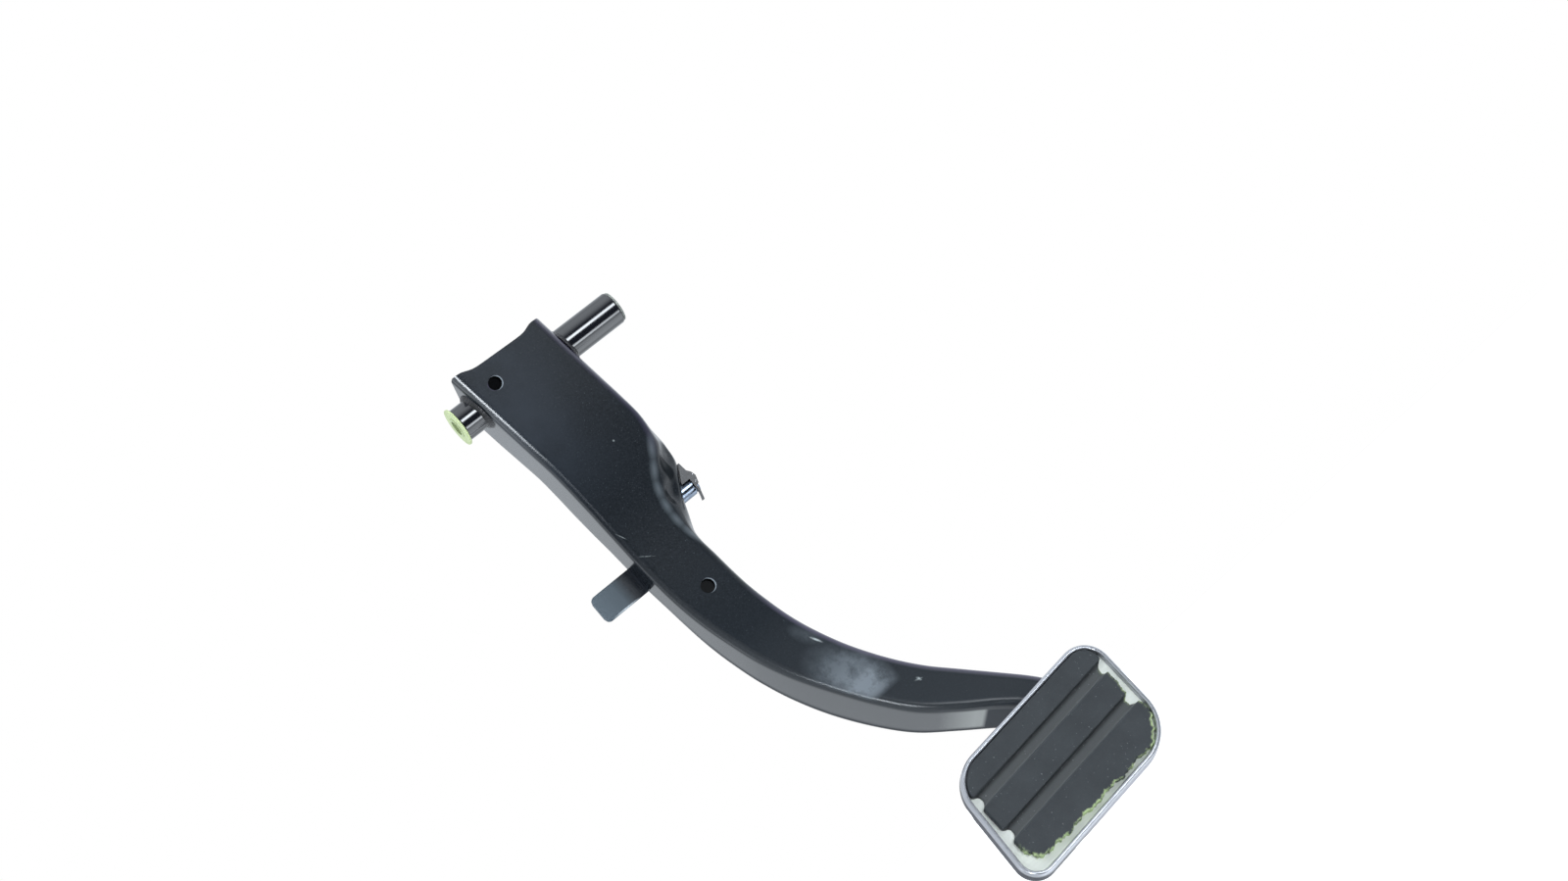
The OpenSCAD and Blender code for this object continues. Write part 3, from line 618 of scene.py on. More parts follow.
# inset and height of each ring, from the skirt's foot over the rolled rim to the floor
tray_profile = [
    (0.0, None), (0.05, TRAY_BACK - 1), (0.1, TRAY_BACK + 1), (0.2, RIM_TOP - 2.1),
    (0.33, RIM_TOP - 1.3), (0.55, RIM_TOP - 0.75), (0.9, RIM_TOP - 0.32),
    (1.35, RIM_TOP - 0.08), (1.8, RIM_TOP), (2.2, RIM_TOP - 0.12), (2.5, RIM_TOP - 0.45),
    (2.7, RIM_TOP - 0.95), (2.85, RIM_TOP - 1.8), (RIM_WIDTH, TRAY_FLOOR + 0.25),
    (RIM_WIDTH + 0.3, TRAY_FLOOR), (RIM_WIDTH + 6, TRAY_FLOOR), (RIM_WIDTH + 14, TRAY_FLOOR),
]
under_profile = [(TRAY_SHEET + 14, TRAY_BACK), (TRAY_SHEET + 0.3, TRAY_BACK),
                 (TRAY_SHEET, TRAY_BACK - 0.5), (TRAY_SHEET, None)]


def tray_ring(inset, height):
    """One ring of the tray: the outline moved in, at one height or at the skirt's foot."""
    p = rounded_outline(inset)
    h = skirt_foot(p) if height is None else np.full(len(p), height)
    return np.column_stack([p, h])


tray_rings = np.stack([tray_ring(*e) for e in tray_profile + under_profile])
n, m, _ = tray_rings.shape
RIM_FROM, FLOOR_FROM, split = 3, 14, len(tray_profile) - 1
quads = grid_faces(n, m, wrap_rows=True, wrap_columns=True).reshape(n, m, 4)
walls = np.delete(quads, split, axis=0).reshape(-1, 4)
tray_faces = [*walls, np.arange(m)[::-1] + split * m, np.arange(m) + (split + 1) * m]
tray = outward(make_mesh("trim_tray", at_pad(tray_rings).reshape(-1, 3), tray_faces, 50))
ring_number = np.arange(n)[:, None] + np.zeros((1, m))
mark(tray, "floor", (ring_number >= FLOOR_FROM) & (ring_number <= split))
mark(tray, "skirt", (ring_number < RIM_FROM) | (ring_number > split))

# %% [markdown]
# ## The rubber insert
# The insert is bonded to the tray's floor. Three flat bands stand between two grooves, and
# along the lower and right sides the rubber is worn away to a ragged edge, so the steel
# shows. A height over the pad's plane describes all of it.

# %% Bands and grooves
RUBBER, GROOVE_DEPTH, GROOVE_W, GROOVE_PITCH, GROOVE_SHIFT = 3.6, 2.2, 6.2, 20.5, 4.0
GROOVES_AT = [side * GROOVE_PITCH / 2 + GROOVE_SHIFT for side in (-1, 1)]
GROOVE_WALL = 0.7


def rubber_height(y):
    """Height across the bands: full on a band, lower in a groove, with steep eased walls."""
    inside = [GROOVE_W / 2 - np.abs(y - at) for at in GROOVES_AT]
    walls = [np.clip(0.5 + side / GROOVE_WALL, 0, 1) for side in inside]
    return RUBBER - GROOVE_DEPTH * sum(wall * wall * (3 - 2 * wall) for wall in walls)


def groove_bell(y, offset, width, power=2):
    """A bell across each groove, offset from its middle: 1 there, falling over the width."""
    return sum(np.exp(-((y - at - offset) / width) ** power) for at in GROOVES_AT)


print("height on a band and in a groove:", rubber_height(np.array([GROOVE_SHIFT, GROOVES_AT[0]])))

# %% The worn outline
WORN_LEFT, WORN_RIGHT, WORN_LOW, WANDER = 4.4, 2.2, 2.8, 1.1
LEFT_END, RIGHT_END = 3.4, 3.0
WAVES = ((0.45, 0.31, 1), (0.3, 0.83, 2.2), (0.2, 1.9, 0.4), (0.13, 4.3, 1.7), (0.08, 9.1, 0))


def ragged(s):
    """A worn edge's wander: sines of unlike lengths, so that it never seems to repeat."""
    return sum(size * np.sin(s * rate + shift) for size, rate, shift in WAVES)


def worn_edge(p, along):
    """Moves the outline in: more toward the lower left, at the groove ends, and raggedly."""
    x, y = p.T
    left, right = np.clip((-x - 25) / 20, 0, 1), np.clip((x - 25) / 20, 0, 1)
    low, high = np.clip((-y - 12) / 12, 0, 1), np.clip(y / 20, 0, 1)
    end = groove_bell(y, 0, GROOVE_W / 2, 4)
    dx = left * (WORN_LEFT * np.clip((22 - y) / 50, 0, 1) + LEFT_END * end)
    dx -= right * (RIGHT_END * end + WORN_RIGHT * np.exp(-((y - 3) / 12) ** 4))
    dy = low * WORN_LOW * np.clip((30 - x) / 80, 0, 1)
    worn = np.clip(low + 0.7 * right, 0, 1) * (1 - high) + 0.12
    inward_x, inward_y = -np.sign(x) * np.maximum(left, right), np.where(y < 0, low, -high)
    wander = ragged(along) * WANDER * worn
    return p + np.stack([dx + wander * inward_x, dy + wander * inward_y], -1), worn


base = rounded_outline([RIM_WIDTH + 1.4, RIM_WIDTH + 1.2, RIM_WIDTH + 0.2, RIM_WIDTH + 0.6],
                       (14, 22, 13, 19), corner_steps=36, side_steps=110)
arc_length = np.r_[0, np.cumsum(np.linalg.norm(np.diff(base, axis=0), axis=1))]
edge_line, worn = worn_edge(base, arc_length)
print("the rubber's edge is", arc_length[-1].round(), "mm round")

# %% Rubber insert
LIP_SHARES = np.array([0.55, 0.85, 0.96, 1.0])[:, None]
FRINGE_WIDTH, FRINGE_FROM = 1.3, 0.15
fractions = np.r_[0, 0.004, 0.01, 0.02, np.linspace(0.035, 1, 120)]
rings = edge_line[None] + (edge_line.mean(0) - edge_line)[None] * fractions[:-1, None, None]
height = rubber_height(rings[..., 1])
in_groove = (RUBBER - height) / GROOVE_DEPTH
in_shade = (groove_bell(rings[..., 1], GROOVE_W / 2 - 0.6, 1.1)
            - 0.55 * groove_bell(rings[..., 1], -GROOVE_W / 2 + 0.2, 0.5))
from_edge = np.linalg.norm(rings - edge_line, axis=-1)
fringe = np.clip(1 - from_edge / FRINGE_WIDTH, 0, 1) * np.clip(worn - FRINGE_FROM, 0, 1)
height[:len(LIP_SHARES)] *= LIP_SHARES
top = np.concatenate([rings, (TRAY_FLOOR + height)[..., None]], -1)
foot = np.concatenate([edge_line, np.full((len(edge_line), 1), TRAY_FLOOR)], 1)[None]
rubber = tube_piece("rubber_insert", at_pad(np.concatenate([foot, top])), 50)
for name, values in (("groove", in_groove), ("shade", in_shade), ("fringe", fringe)):
    mark(rubber, name, np.concatenate([values[:1], values]))

# %% [markdown]
# ## Materials
# Every finish is built from the shader's own sockets and from noise on Object coordinates, so
# it stays with the metal from every side. A picture laid on the surface would be quicker, but
# it would stretch over the folds. Two small classes keep the node code short, and the world
# and the floor use them too.

# %% Helpers for node trees
class Nodes:
    """A node tree under construction."""

    def __init__(self, tree):
        self.tree = tree

    def node(self, kind, **values):
        """Adds a node, and sets its properties or else its sockets of that name."""
        made = self.tree.nodes.new(kind)
        for key, value in values.items():
            if hasattr(made, key):
                setattr(made, key, value)
            else:
                made.inputs[key.replace("_", " ")].default_value = value
        return made

    def link(self, out, into):
        self.tree.links.new(out, into)

    def put(self, socket, value):
        """Links an output to a socket, or writes a number or a colour into it."""
        if hasattr(value, "links"):
            self.link(value, socket)
        else:
            socket.default_value = (*value, 1) if socket.type == "RGBA" else value

    def combine(self, operation, *values):
        """Several numbers joined by one operation: their product, sum or maximum."""
        total = values[0]
        for value in values[1:]:
            made = self.node("ShaderNodeMath", operation=operation)
            self.put(made.inputs[0], total)
            self.put(made.inputs[1], value)
            total = made.outputs[0]
        return total

    def times(self, *values):
        return self.combine("MULTIPLY", *values)

    def most(self, *values):
        return self.combine("MAXIMUM", *values)

    def grey(self, value, low, high, start=0.3, end=0.7, **properties):
        """Value stretched from start..end to low..high."""
        made = self.node("ShaderNodeMapRange", From_Min=start, From_Max=end, To_Min=low,
                         To_Max=high, **properties)
        self.link(value, made.inputs["Value"])
        return made.outputs["Result"]

    def vector(self, operation, a, b=None):
        """A vector operation on an output and, for some, a constant vector."""
        made = self.node("ShaderNodeVectorMath", operation=operation)
        self.link(a, made.inputs[0])
        if b is not None:
            made.inputs[1].default_value = tuple(float(v) for v in b)
        return made.outputs["Value" if operation in ("DOT_PRODUCT", "LENGTH") else "Vector"]

    def choose(self, factor, a, b):
        """Shader a where the factor is 0, b where it is 1."""
        made = self.node("ShaderNodeMixShader")
        for socket, out in zip(made.inputs, (factor, a, b)):
            self.link(out, socket)
        return made.outputs[0]


def srgb(r, g, b):
    """A colour as seen on screen, 0 to 255, to linear light."""
    c = np.array([r, g, b]) / 255
    return tuple(float(v) for v in np.where(c <= 0.04045, c / 12.92, ((c + 0.055) / 1.055) ** 2.4))


print("a middle grey on screen is", srgb(128, 128, 128)[0], "in linear light")

# %% Helper for one finish
class Finish(Nodes):
    """A material under construction, on the piece's Object coordinates."""

    def __init__(self, name):
        self.material = bpy.data.materials.new(name)
        self.material.use_nodes = True
        super().__init__(self.material.node_tree)
        self.shader = self.tree.nodes["Principled BSDF"]
        self.coords = self.node("ShaderNodeTexCoord").outputs["Object"]

    def noise(self, scale, detail=4.0, roughness=0.55, stretch=(1, 1, 1)):
        """Noise with about one lump per 1/scale metres, stretched along the axes."""
        mapping = self.node("ShaderNodeMapping", Scale=stretch)
        self.link(self.coords, mapping.inputs["Vector"])
        made = self.node("ShaderNodeTexNoise", Scale=scale, Detail=detail, Roughness=roughness)
        self.link(mapping.outputs["Vector"], made.inputs["Vector"])
        return made.outputs["Fac"]

    def ramp(self, value, stops):
        """Value to a number through the given stops of (place, number)."""
        made = self.node("ShaderNodeValToRGB")
        while len(made.color_ramp.elements) < len(stops):
            made.color_ramp.elements.new(0.5)
        for element, (place, number) in zip(made.color_ramp.elements, stops):
            element.position, element.color = place, (number, number, number, 1)
        self.link(value, made.inputs["Fac"])
        return made.outputs["Color"]

    def mix(self, factor, a, b):
        """Colour or number a where the factor is 0, b where it is 1."""
        made = self.node("ShaderNodeMix", data_type="RGBA")
        for k, value in ((0, factor), (6, a), (7, b)):
            self.put(made.inputs[k], value)
        return made.outputs[2]

    def mottle(self, value, dark, light, start=0.3, end=0.7):
        """Two screen colours mixed by a noise value."""
        return self.mix(self.grey(value, 0.0, 1.0, start, end), srgb(*dark), srgb(*light))

    def lay(self, base, factor, colour):
        """The base with a screen colour laid over it where the factor is 1."""
        return self.mix(factor, base, srgb(*colour))

    def patch(self, centre, along, across, half_along, half_across, inner=0.6):
        """1 inside an oval laid on a surface, easing to 0 at its edge: the length of the offset
        from its middle, measured along two directions in units of the two half sizes."""
        offset = self.vector("SUBTRACT", self.coords, centre)
        joined = self.node("ShaderNodeCombineXYZ")
        for k, (axis, half) in enumerate(((along, half_along), (across, half_across))):
            axis = np.asarray(axis) / (half * MM)
            self.link(self.vector("DOT_PRODUCT", offset, axis), joined.inputs[k])
        return self.grey(self.vector("LENGTH", joined.outputs[0]), 1.0, 0.0, inner, 1.0)

    def read(self, name):
        """The number that mark() stored on the piece's points."""
        return self.node("ShaderNodeAttribute", attribute_name=name).outputs["Fac"]

    def axis(self, name):
        """One object coordinate, in metres."""
        parts = self.node("ShaderNodeSeparateXYZ")
        self.link(self.coords, parts.inputs[0])
        return parts.outputs[name]

    def bump(self, height, distance, strength):
        made = self.node("ShaderNodeBump", Strength=strength, Distance=distance)
        self.link(height, made.inputs["Height"])
        return made.outputs["Normal"]

    def set(self, **values):
        """Puts values into the shader's sockets of those names, and gives back the material."""
        for key, value in values.items():
            self.put(self.shader.inputs[key.replace("_", " ")], value)
        print(f"{self.material.name}: {len(self.tree.nodes)} nodes")
        return self.material


print("what a finish can do:", [name for name in vars(Finish) if not name.startswith("_")])

# %% [markdown]
# ## Places on the arm
# Marks on the web are given as x and level, as one would measure them with a tape. An oval
# between two such places can stand for a scratch, a smear or a dent.

# %% Ovals on the web
def arm_place(x, level, depth=0.0):
    """A place on the arm in object coordinates, metres."""
    return hang(on_arm(x, level, depth)) * MM


def arm_patch(finish, start, end, half_across, inner=0.6):
    """An oval between two places of the web, given as x and level, of the given half width."""
    a, b = arm_place(*start), arm_place(*end)
    along = (b - a) / np.linalg.norm(b - a)
    tilt = math.radians(HANG_ANGLE) - float(lean(np.float64((start[1] + end[1]) / 2)))
    normal = np.array([0, -math.cos(tilt), -math.sin(tilt)])
    half = np.linalg.norm(b - a) / 2 / MM
    return finish.patch((a + b) / 2, along, np.cross(along, normal), half, half_across, inner)


sideways = hang(np.array([1.0, 0.0, 0.0]))
down = arm_place(0, 90) - arm_place(0, 80)
down /= np.linalg.norm(down)
print("down the arm at the pin:", down.round(3))

# %% [markdown]
# ## Black coat on the arm
# The pressing wears a satin black coat, with a bluish painted reflection on the upper web
# where it faces up, most at the left, and a little lighter further down. One even black would
# look like a hole in the picture, so a fine grain and a sparse light speckle break it. The
# layers are laid one over the other, from the coat to the dust.

# %% Coat with grain and speckle
COAT_DARK, COAT_LIGHT, SPECKLE = (27, 31, 35), (38, 42, 47), (104, 112, 118)
UPPER_REFLECTION, LOWER_COAT = (47, 53, 61), (47, 52, 57)
LEVELS = (-20.0, 340.0)


def coat_finish(name, dark, light):
    """The satin black coat: even colour, a fine grain and a sparse light speckle."""
    made = Finish(name)
    grain = made.noise(1100, 3, 0.6)
    speck = made.grey(made.noise(1500, 2, 0.5), 0.0, 1.0, 0.66, 0.74)
    base = made.mottle(grain, dark, light, 0.35, 0.65)
    return made, grain, made.lay(base, made.times(speck, 0.35), SPECKLE)


coat, _, base = coat_finish("arm_coat", COAT_DARK, COAT_LIGHT)
level, depth, to_right = coat.read("level"), coat.read("depth"), coat.read("to_right")
across_x = coat.axis("X")


def by_level(*stops):
    """A number that runs through the given (level, value) stops down the arm."""
    places = [((at - LEVELS[0]) / (LEVELS[1] - LEVELS[0]), value) for at, value in stops]
    return coat.ramp(coat.grey(level, 0.0, 1.0, *LEVELS), places)


# Painted reflection: a bluish light laid on the upper web, strongest at the left.
upper = coat.times(coat.grey(level, 1.0, 0.0, 30.0, 80.0),
                   coat.grey(coat.noise(28, 3), 0.25, 0.85, 0.35, 0.6),
                   coat.grey(across_x, 1.1, 0.1, -0.022, 0.012))
base = coat.lay(base, upper, UPPER_REFLECTION)
lower = coat.times(by_level((120, 0.0), (190, 0.6), (330, 0.9)), 0.8)
base = coat.lay(base, lower, LOWER_COAT)
print("plain coat:", len(coat.tree.nodes), "nodes")

# %% [markdown]
# ## Dust and scuffs on the web
# Shoes leave a grey smear where the arm turns toward the pad, and a few short scratches. The
# smear is an oval broken up by noise, and the scratches are thin ovals. Both stop at the
# folds, because depth fades them out.

# %% Dust and scuffs
DUST, SCRATCH = (126, 134, 141), (205, 214, 214)
SCRATCHES = (  # start, end, half width, inner share, strength
    ((14.1, 192.8), (17.7, 200.4), 0.7, 0.2, 0.9), ((38.9, 243.6), (39.9, 247.0), 0.9, 0.1, 0.9),
    ((36.5, 244.6), (41.5, 246.2), 0.6, 0.1, 0.5), ((-24.5, 91.0), (-21.5, 97.5), 0.35, 0.1, 0.55),
    ((-23.2, 107.0), (-15.4, 112.8), 0.35, 0.1, 0.4), ((4.0, 54.0), (4.8, 55.4), 0.7, 0.1, 0.6),
)
dusty = coat.times(arm_patch(coat, (5, 196), (27, 248), 16, 0.45),
                   by_level((188, 0.12), (203, 0.32), (215, 0.6), (228, 1.0), (237, 0.95),
                            (240, 0.0)))
dusty = coat.most(dusty, coat.times(arm_patch(coat, (9, 182), (19, 202), 5, 0.1), 0.3))
dusty = coat.times(dusty, coat.grey(coat.noise(110, 7, 0.68), 0.45, 1.05, 0.36, 0.56),
                   coat.grey(depth, 1.0, 0.0, 0.6, 2.0))
base = coat.lay(base, coat.times(dusty, 0.9), DUST)
scuffs = coat.most(*(coat.times(arm_patch(coat, start, end, half, inner), strength)
                     for start, end, half, inner, strength in SCRATCHES))
scuffs = coat.times(scuffs, coat.grey(coat.noise(700, 3, 0.7), 0.2, 1.0, 0.35, 0.6),
                    coat.grey(depth, 1.0, 0.0, 1.2, 2.0))
base = coat.lay(base, scuffs, SCRATCH)
print("scratches on the web:", len(SCRATCHES))

# %% [markdown]
# ## The flare's dimples and ridge
# The two dimples are real hollows in the mesh, but a dark pressing hides them in soft light,
# so painted shade darkens the coat inside them and a painted highlight lightens it along the
# ridge. The side that faces the channel is left alone.

# %% Dimples and ridge
RIDGE_HIGHLIGHT, DIMPLE_SHADE = (112, 120, 126), (24, 28, 32)
RIDGE = ((20.4, 64.8), (14.8, 74.2), (8.7, 83.2), (5.7, 92.0), (4.4, 100.8), (5.0, 109.4),
         (7.5, 120.0))  # x and level of its joints
RIDGE_HALF, RIDGE_OVERLAP = 3.0, 0.35
slope = hang(np.array([0.75, 0.66, 0.0]))
dimple_shade = coat.most(coat.patch(arm_place(19.0, 81.6, 5.6), down, slope, 8.0, 4.2, 0.75),
                  coat.patch(arm_place(10.2, 94.2, 3.6), down, slope, 5.6, 2.4, 0.7))
dimple_shade = coat.times(dimple_shade, coat.grey(to_right, 0.0, 1.0, 0.0, 0.15))
joints = np.array(RIDGE)
reach = RIDGE_OVERLAP * np.diff(joints, axis=0)
ridge = coat.most(*(arm_patch(coat, start, end, RIDGE_HALF, 0.1)
                    for start, end in zip(joints[:-1] - reach, joints[1:] + reach)))
# Painted highlight along the ridge, and painted shade inside the two dimples.
base = coat.lay(base, coat.times(ridge, coat.grey(depth, 0.6, 0.0, 1.8, 2.4)), RIDGE_HIGHLIGHT)
base = coat.lay(base, dimple_shade, DIMPLE_SHADE)
print("ridge of", len(RIDGE) - 1, "ovals")

# %% [markdown]
# ## Folds and flanges
# Near the pad the left flange carries a painted bright reflection, then painted shade where it
# lies in the pad's shade. Its free edge is dark, and the right fold carries a painted lilac
# highlight. Each is a band of one of the stored numbers.

# %% Folds and flanges
FLANGE_REFLECTION, DARK_END, LIP_COLOUR, RIGHT_FOLD_HIGHLIGHT = (158, 162, 158), (42, 48, 56), (40, 44, 50), (76, 71, 94)
on_flange = coat.grey(depth, 0.0, 1.0, 3.2, 5.0)
# Painted reflection on the left flange near the pad, then painted shade beyond it.
flange_reflection = coat.times(on_flange, coat.grey(across_x, 0.0, 1.0, 0.036, 0.05),
                        coat.grey(across_x, 1.0, 0.0, 0.0530, 0.0548))
dark_end = coat.times(on_flange, coat.grey(across_x, 0.0, 1.0, 0.0535, 0.0548))
lip = coat.times(coat.grey(coat.read("from_lip"), 1.0, 0.0, 2.5, 6.0),
                 by_level((110, 0.0), (160, 1.0)), coat.grey(depth, 0.0, 1.0, 15.0, 16.0))
# Painted lilac highlight along the right fold.
right_fold_highlight = coat.times(coat.grey(to_right, 0.0, 1.0, 0.12, 0.5), coat.grey(depth, 1.0, 0.0, 2.0, 5.0),
                   by_level((-20, 0.6), (60, 0.5), (75, 0.0), (150, 0.0), (175, 0.9), (330, 0.9)))
for factor, colour in ((coat.times(flange_reflection, 0.85), FLANGE_REFLECTION),
                       (coat.times(dark_end, 0.9), DARK_END), (lip, LIP_COLOUR),
                       (coat.times(right_fold_highlight, 0.8), RIGHT_FOLD_HIGHLIGHT)):
    base = coat.lay(base, factor, colour)
print("coat so far:", len(coat.tree.nodes), "nodes")

# %% [markdown]
# ## Inside the holes
# The holes are painted almost black, a painted shade, with a painted highlight as a thin light
# line at the right of each mouth. A disc that starts just behind the web makes the dark, and
# the same disc moved right makes the line.

# %% Inside the holes
HOLE_SHADE, HOLE_RIM_HIGHLIGHT = (8, 9, 11), (168, 178, 186)
hole_shade, hole_rim_highlight = [], []
for x, at, radius in HOLES:
    wide, wider = radius + 0.15, radius + 0.3
    # Painted shade inside each hole, and a painted highlight on the rim at its right.
    mouth = coat.patch(arm_place(x, at), sideways, down, wide, wide, 0.97)
    moved = coat.patch(arm_place(x + 0.5, at + 0.1), sideways, down, wider, wider, 0.93)
    hole_shade.append(coat.times(mouth, coat.grey(depth, 0.0, 1.0, 0.1, 0.3)))
    hole_rim_highlight.append(coat.times(moved, coat.grey(mouth, 1.0, 0.0, 0.0, 1.0)))
hole_shade = coat.most(*hole_shade)
hole_rim_highlight = coat.times(coat.most(*hole_rim_highlight), coat.grey(depth, 0.65, 0.0, 0.3, 0.5))
base = coat.lay(base, hole_rim_highlight, HOLE_RIM_HIGHLIGHT)
base = coat.lay(base, hole_shade, HOLE_SHADE)
print("dark holes:", len(HOLES))

# %% [markdown]
# ## Gloss of the coat
# The web is dull at the pin's level, the folds catch the light at the top, and the flanges
# shine all the way. So the specular level changes down the arm, for each of the three faces.

# %% Gloss of the coat
DULL, COAT_ROUGH, DUST_ROUGH = (0.03, 0.03, 0.03), 0.2, 0.42
web_shine = by_level((-20, 0.2), (20, 0.18), (50, 0.08), (80, 0.02), (170, 0.02), (190, 0.16),
                     (330, 0.4))
fold_shine = by_level((-10, 1.0), (13, 1.0), (31, 0.55), (47, 0.16), (62, 0.08), (95, 0.06),
                      (135, 0.3), (330, 0.6))
side_shine = by_level((-20, 0.42), (100, 0.34), (130, 0.26), (165, 0.4), (330, 0.54))
on_web, on_fold = coat.grey(depth, 1.0, 0.0, 0.03, 0.2), coat.grey(depth, 1.0, 0.0, 1.6, 2.6)
shine = coat.mix(on_web, coat.mix(on_fold, side_shine, fold_shine), web_shine)
shine = coat.mix(coat.most(dimple_shade, dark_end, hole_shade, lip), shine, DULL)
rough = coat.grey(coat.most(dusty, coat.times(on_fold, 0.4)), COAT_ROUGH, DUST_ROUGH, 0.0, 1.0)
arm_coat = coat.set(Base_Color=base, Specular_IOR_Level=shine, Roughness=rough)

# %% [markdown]
# ## Coat on the lug
# The lug's coat is dark at its root and carries a painted reflection, greyer and lighter toward
# the tip, with a painted highlight as a bright line along its lower edge.

# %% Coat on the lug
LUG_DARK, LUG_LIGHT, LUG_REFLECTION, LUG_TIP_REFLECTION = (30, 34, 40), (40, 44, 50), (76, 87, 95), (90, 102, 111)
EDGE_HIGHLIGHT, EDGE_SHARE = (215, 224, 230), 0.88
lug_finish, grain, base = coat_finish("lug_coat", LUG_DARK, LUG_LIGHT)
# Painted reflection toward the tip of the lug, and a painted highlight along its lower edge.
outer_part = lug_finish.grey(lug_finish.axis("X"), 1.0, 0.0, -0.0375, -0.0315)
tip_reflection = lug_finish.mottle(lug_finish.axis("X"), LUG_TIP_REFLECTION, LUG_REFLECTION, -0.050, -0.036)
base = lug_finish.mix(lug_finish.times(outer_part, 0.95), base, tip_reflection)
lug_edge_highlight = lug_finish.patch(arm_place(-39.0, LUG_LEVEL + EDGE_SHARE * LUG_WIDTH / 2, LUG_FACE),
                        sideways, down, 9.5, 0.7, 0.3)
base = lug_finish.lay(base, lug_finish.times(lug_edge_highlight, 0.8), EDGE_HIGHLIGHT)
lug_coat = lug_finish.set(Base_Color=base, Roughness=0.25, Specular_IOR_Level=0.06,
                      Normal=lug_finish.bump(grain, 0.00002, 0.2))

# %% [markdown]
# ## Tube, welds and bushes
# The tube is dipped in a gloss black coat that mirrors the soft boxes as two thin strips. The
# welds under the coat are rough. The bushes are pale moulded plastic, and the right one is
# coloured darker, in a coarse grey mottle.

# %% Tube, welds and bushes
gloss = Finish("tube_coat")
tube_coat = gloss.set(Base_Color=srgb(16, 18, 26), Roughness=gloss.grey(gloss.noise(70), 0.1, 0.16),
                      IOR=1.5, Specular_IOR_Level=1.0)
bead = Finish("weld_coat")
weld_coat = bead.set(Base_Color=bead.mottle(bead.noise(300), (20, 20, 24), (44, 44, 48)),
                     Roughness=bead.grey(bead.noise(400), 0.25, 0.5),
                     Normal=bead.bump(bead.noise(700), 0.0001, 0.6))
plastic = Finish("bush_plastic_finish")
pale_plastic = plastic.set(
    Base_Color=plastic.mottle(plastic.noise(180), (196, 212, 152), (216, 230, 176)), Roughness=0.45)
# The right bush is coloured darker, in a coarse grey mottle.
dark_plastic = Finish("darker_bush_finish")
darker_bush = dark_plastic.set(
    Base_Color=dark_plastic.mottle(dark_plastic.noise(200, 4), (70, 74, 74), (176, 180, 172)), Roughness=0.5)

# %% [markdown]
# ## Bare metals
# The pin is zinc plated, a bluish metal with faint clouds. The distance sleeve is steel with a
# pale green painted reflection of the bush round it. The tray is brushed stainless steel:
# bright on its rim, pale and dull on the floor that the rubber uncovers, and on its skirt a
# painted reflection, dark at the left and turning light to the right.

# %% Zinc plate and the sleeve's painted reflection
zinc = Finish("zinc_plate")
zinc_plate = zinc.set(Base_Color=zinc.mottle(zinc.noise(250), (102, 113, 128), (134, 144, 158)),
                      Metallic=1.0, Roughness=zinc.grey(zinc.noise(400), 0.18, 0.3))
plain = Finish("sleeve_reflection_finish")
# Painted reflection: the sleeve is coloured pale green like the bush round it.
sleeve_reflection = plain.set(Base_Color=plain.mottle(plain.noise(220), (188, 204, 150), (204, 218, 170)),
                        Metallic=0.15, Roughness=0.4)

# %% Stainless steel of the tray
RIM_STEEL, FLOOR_STEEL, BRUSH_MARKS = (180, 182, 188), (243, 246, 238), (140, 142, 146)
SKIRT_DARK_REFLECTION, SKIRT_LIGHT_REFLECTION, TURNS_AT = (60, 62, 70), (158, 158, 172), (0.03, 0.07)
RIM_METAL, FLOOR_METAL, NO_METAL = (0.7, 0.7, 0.7), (0.15, 0.15, 0.15), (0.0, 0.0, 0.0)
steel = Finish("stainless")
floor_part, skirt_part = steel.read("floor"), steel.read("skirt")
# Painted reflection on the skirt: dark at the left, turning light to the right.
skirt_reflection = steel.mottle(steel.axis("X"), SKIRT_DARK_REFLECTION, SKIRT_LIGHT_REFLECTION, *TURNS_AT)
body = steel.mix(skirt_part, srgb(*RIM_STEEL), skirt_reflection)
body = steel.lay(body, floor_part, FLOOR_STEEL)
body = steel.lay(body, steel.grey(steel.noise(260, 3, 0.6, (0.08, 1, 1)), 0.0, 0.2), BRUSH_MARKS)
skirt_dark_reflection = steel.times(skirt_part, steel.grey(steel.axis("X"), 1.0, 0.0, *TURNS_AT))
metal = steel.mix(floor_part, steel.mix(skirt_dark_reflection, RIM_METAL, NO_METAL), FLOOR_METAL)
stainless = steel.set(Base_Color=body, Metallic=metal,
                      Roughness=steel.grey(floor_part, 0.26, 0.4, 0.0, 1.0),
                      Specular_IOR_Level=steel.grey(skirt_dark_reflection, 0.5, 0.05, 0.0, 1.0))

# %% [markdown]
# ## Worn rubber
# Shoes polish the bands and fill the grooves with grey dirt. Under the upper wall of each
# groove lies a shadow, and its lower wall catches a line of light. The torn edge is pale
# green in crumbs. The numbers stored on the insert say where all of this goes.

